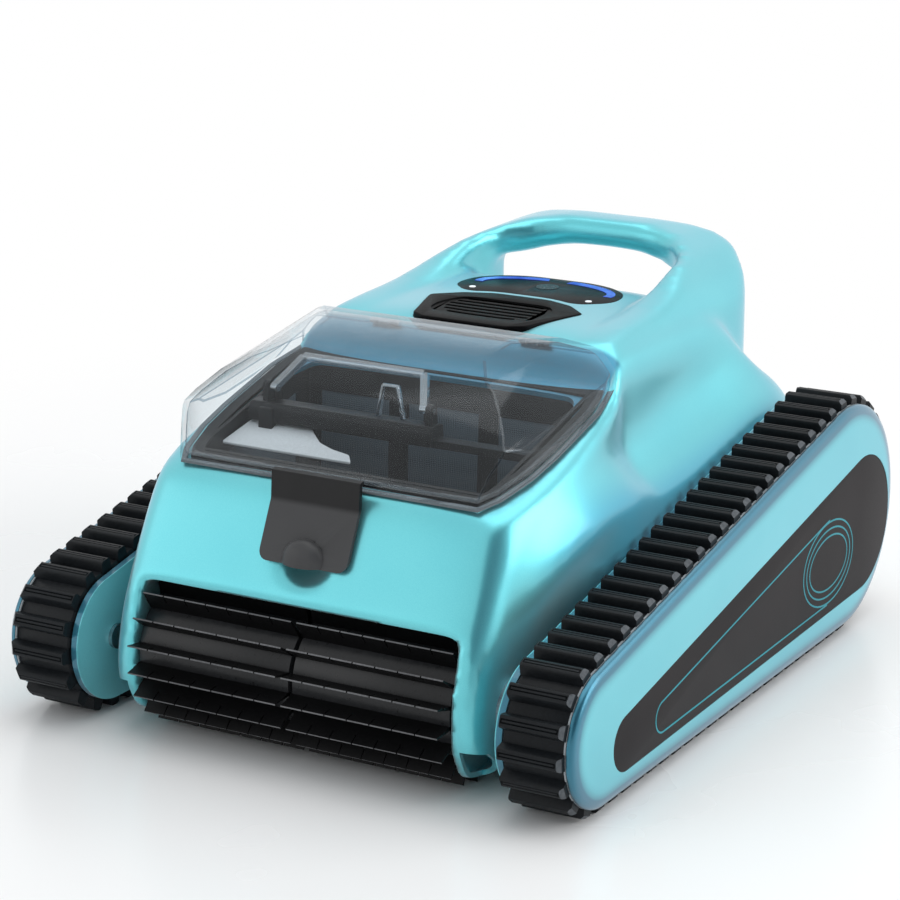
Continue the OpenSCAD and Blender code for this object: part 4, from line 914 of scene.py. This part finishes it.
basket_plastic = moulded_plastic("basket_plastic", rgb(20, 21, 22), rgb(28, 29, 31), 0.4, 1600.0,
                                 0.00003)
clear_bail = clear_plastic("clear_bail", rgb(206, 216, 222), 0.28)
paint_nodes(basket_plastic, "filter_basket")
paint_nodes(woven_mesh("basket_weave", rgb(66, 82, 94), 1.3 * MM), "basket_mesh")
paint_nodes(clear_bail, "basket_bail")
paint_nodes(steel, "bail_pins")

plate = prism("Z", 150, 200, [
    (-101, -142), (-98, -112), (-91, -104), (-66, -103), (-56, -109), (-48, -117), (-38, -126),
    (-26, -131), (-12, -134), (-6, -142)], 2)
combine(plate, seat_band(-7, -5.4), "INTERSECT")
plate.name = "basket_plate"
pale_plate = moulded_plastic("pale_plate", rgb(196, 198, 200), rgb(214, 216, 218), 0.5, 600.0)
fit(bevelled(plate, 0.4, 2), pale_plate, "base")
carrier = prism("X", -97, 35, [(-116, 178), (-101, 178), (-99, 182), (-100, 189), (-103, 190.5),
                               (-114, 190.5), (-117, 187), (-117, 181)])
combine(carrier, prism("X", -88, -78, oblong(-120, -114, 171.5, 188)), "UNION")
combine(carrier, prism("X", 24, 33, oblong(-104, -96, 188, 176)), "UNION")
carrier.name = "bail_carrier"
fit(bevelled(carrier, 1.0), basket_plastic, "base")
post = prism("Y", -108.6, -105.6, [(-9, 188), (13, 188), (8, 212), (-4, 212)], 1)
combine(post, prism("Y", -110, -104, [(-7, 180), (11, 180), (6.6, 210.4), (-2.6, 210.4)], 1),
        "DIFFERENCE")
post.name = "clear_post"
fit(bevelled(post, 0.3, 2), clear_bail, "base")


# ---------- Wheels and drive ----------
# Four wheels run inside the belts, on axles between each track's painted frame and its cover.
# The rear ones carry a gear that a pinion on each drive motor turns. Nylon, acetal and steel.

def running_nylon(name, dark, pale, shine):
    """Nylon polished where it runs: a mottled surface with brighter rubbed patches."""
    material, place = new_material(name)
    mottle = place.noise(60.0, 4.0)
    rubbed = place.noise(26.0).ramp(0.5, 0.68)
    skin = place.node("ShaderNodeBsdfPrincipled", {}, {
        "Base Color": (mottle * 0.6 + rubbed * 0.4).ramp(0.25, 0.75).mix(dark, pale),
        "Roughness": 0.5 - rubbed * shine, "Normal": place.noise(900.0, 2.0).bump(0.00008, 0.4)})
    place.node("ShaderNodeOutputMaterial", {}, {0: skin})
    return material


def motor_can(name):
    """A plated steel can, with fine drawing lines along X and duller patches."""
    material, place = new_material(name)
    drawn = place.node("ShaderNodeMapping", {}, {"Vector": place, "Scale": (30.0, 1500.0, 1500.0)})
    lines = drawn.noise(1.0, 3.0)
    dull = place.noise(30.0).ramp(0.4, 0.7)
    metal = place.node("ShaderNodeBsdfPrincipled", {}, {
        "Base Color": lines.mix(rgb(120, 124, 128), rgb(166, 170, 174)), "Metallic": 0.9,
        "Roughness": 0.28 + dull * 0.2, "Normal": lines.bump(0.00004, 0.3)})
    place.node("ShaderNodeOutputMaterial", {}, {0: metal})
    return material


paint_nodes(running_nylon("wheel_nylon", rgb(30, 31, 33), rgb(48, 50, 52), 0.2),
            "front_wheel_left", "front_wheel_right", "rear_wheel_left", "rear_wheel_right")
paint_nodes(running_nylon("gear_acetal", rgb(196, 196, 188), rgb(222, 222, 216), 0.3),
            "wheel_gear_left", "wheel_gear_right", "drive_pinion_left", "drive_pinion_right")
paint_nodes(motor_can("motor_can"), "drive_motor_left", "drive_motor_right", "brush_motor",
            "pump_motor")
paint_nodes(steel, "wheel_axles", "brush_shaft", "impeller_shaft", "port_cap_pin")
paint_nodes(running_nylon("bush_acetal", rgb(206, 206, 200), rgb(228, 228, 222), 0.25),
            "brush_bushes")
# Painted shade: the frames' outer sides, which show between the cleats, are a deeper blue.
paint_nodes(pearl_paint("frame_turquoise", (0.1484, 0.1478), flakes=0.2),
            "track_frame_left", "track_frame_right")
paint_nodes(seal_rubber, "shaft_seals")


# ---------- Pump ----------
# The volute that draws water through the basket, the cradle that carries its motor, and the
# impeller. Grey glass-filled nylon, with short fibres showing in it.

def filled_nylon(name, dark, pale):
    """Nylon with short glass fibres: pale flecks that lie one way, in a dull grey."""
    material, place = new_material(name)
    lay = place.node("ShaderNodeMapping", {}, {"Vector": place, "Scale": (400.0, 1600.0, 1600.0)})
    fibre = lay.noise(1.0, 1.0).ramp(0.62, 0.7)
    cloud = place.noise(16.0)
    skin = place.node("ShaderNodeBsdfPrincipled", {}, {
        "Base Color": fibre.mix(cloud.mix(dark, pale), rgb(150, 156, 160)),
        "Roughness": 0.48 + cloud * 0.12, "Normal": fibre.bump(0.00005, 0.4)})
    place.node("ShaderNodeOutputMaterial", {}, {0: skin})
    return material


paint_nodes(filled_nylon("pump_nylon", rgb(66, 72, 78), rgb(84, 90, 96)),
            "pump_housing", "pump_cradle")
paint_nodes(filled_nylon("impeller_nylon", rgb(188, 192, 194), rgb(214, 218, 220)), "impeller")


# ---------- Battery, board and charging port ----------
# A sealed case holds the sleeved cells, the control board sits above it, and the charging
# socket in the rear wall has a rubber cap on a hinge.

def cell_sleeve(name):
    """A shrunk plastic sleeve, glossy and slightly wrinkled."""
    material, place = new_material(name)
    wrinkle = place.noise(140.0, 4.0)
    sleeve = place.node("ShaderNodeBsdfPrincipled", {}, {
        "Base Color": place.noise(18.0).mix(rgb(54, 128, 86), rgb(76, 156, 108)),
        "Roughness": 0.2 + wrinkle * 0.15, "Normal": wrinkle.bump(0.0002, 0.25)})
    place.node("ShaderNodeOutputMaterial", {}, {0: sleeve})
    return material


def board_mask(name):
    """A circuit board: copper tracks under green lacquer, with tinned pads between them."""
    material, place = new_material(name)
    tracks = place.node("ShaderNodeTexVoronoi", {"feature": "DISTANCE_TO_EDGE"},
                        {"Vector": place, "Scale": 260.0, "Randomness": 0.35})
    copper = 1 - tracks.ramp(0.04, 0.09)
    pads = place.node("ShaderNodeTexVoronoi", {}, {"Vector": place, "Scale": 130.0})
    tin = 1 - pads.ramp(0.12, 0.16)
    lacquer = place.node("ShaderNodeBsdfPrincipled", {}, {
        "Base Color": tin.mix(copper.mix(rgb(18, 74, 48), rgb(40, 112, 70)), rgb(196, 198, 192)),
        "Metallic": tin * 0.8, "Roughness": 0.3 + copper * 0.1,
        "Normal": (copper + tin).bump(0.00004)})
    place.node("ShaderNodeOutputMaterial", {}, {0: lacquer})
    return material


paint_nodes(moulded_plastic("case_plastic", rgb(92, 98, 104), rgb(110, 116, 122), 0.5, 600.0),
            "battery_case")
paint_nodes(cell_sleeve("cell_sleeve"), "battery_cells")
paint_nodes(board_mask("board_mask"), "control_board")
paint_nodes(moulded_plastic("port_plastic", rgb(26, 28, 30), rgb(36, 38, 40), 0.4, 700.0),
            "charging_port")
paint_nodes(moulded_plastic("cap_rubber", rgb(24, 25, 27), rgb(34, 35, 37), 0.7, 500.0), "port_cap")
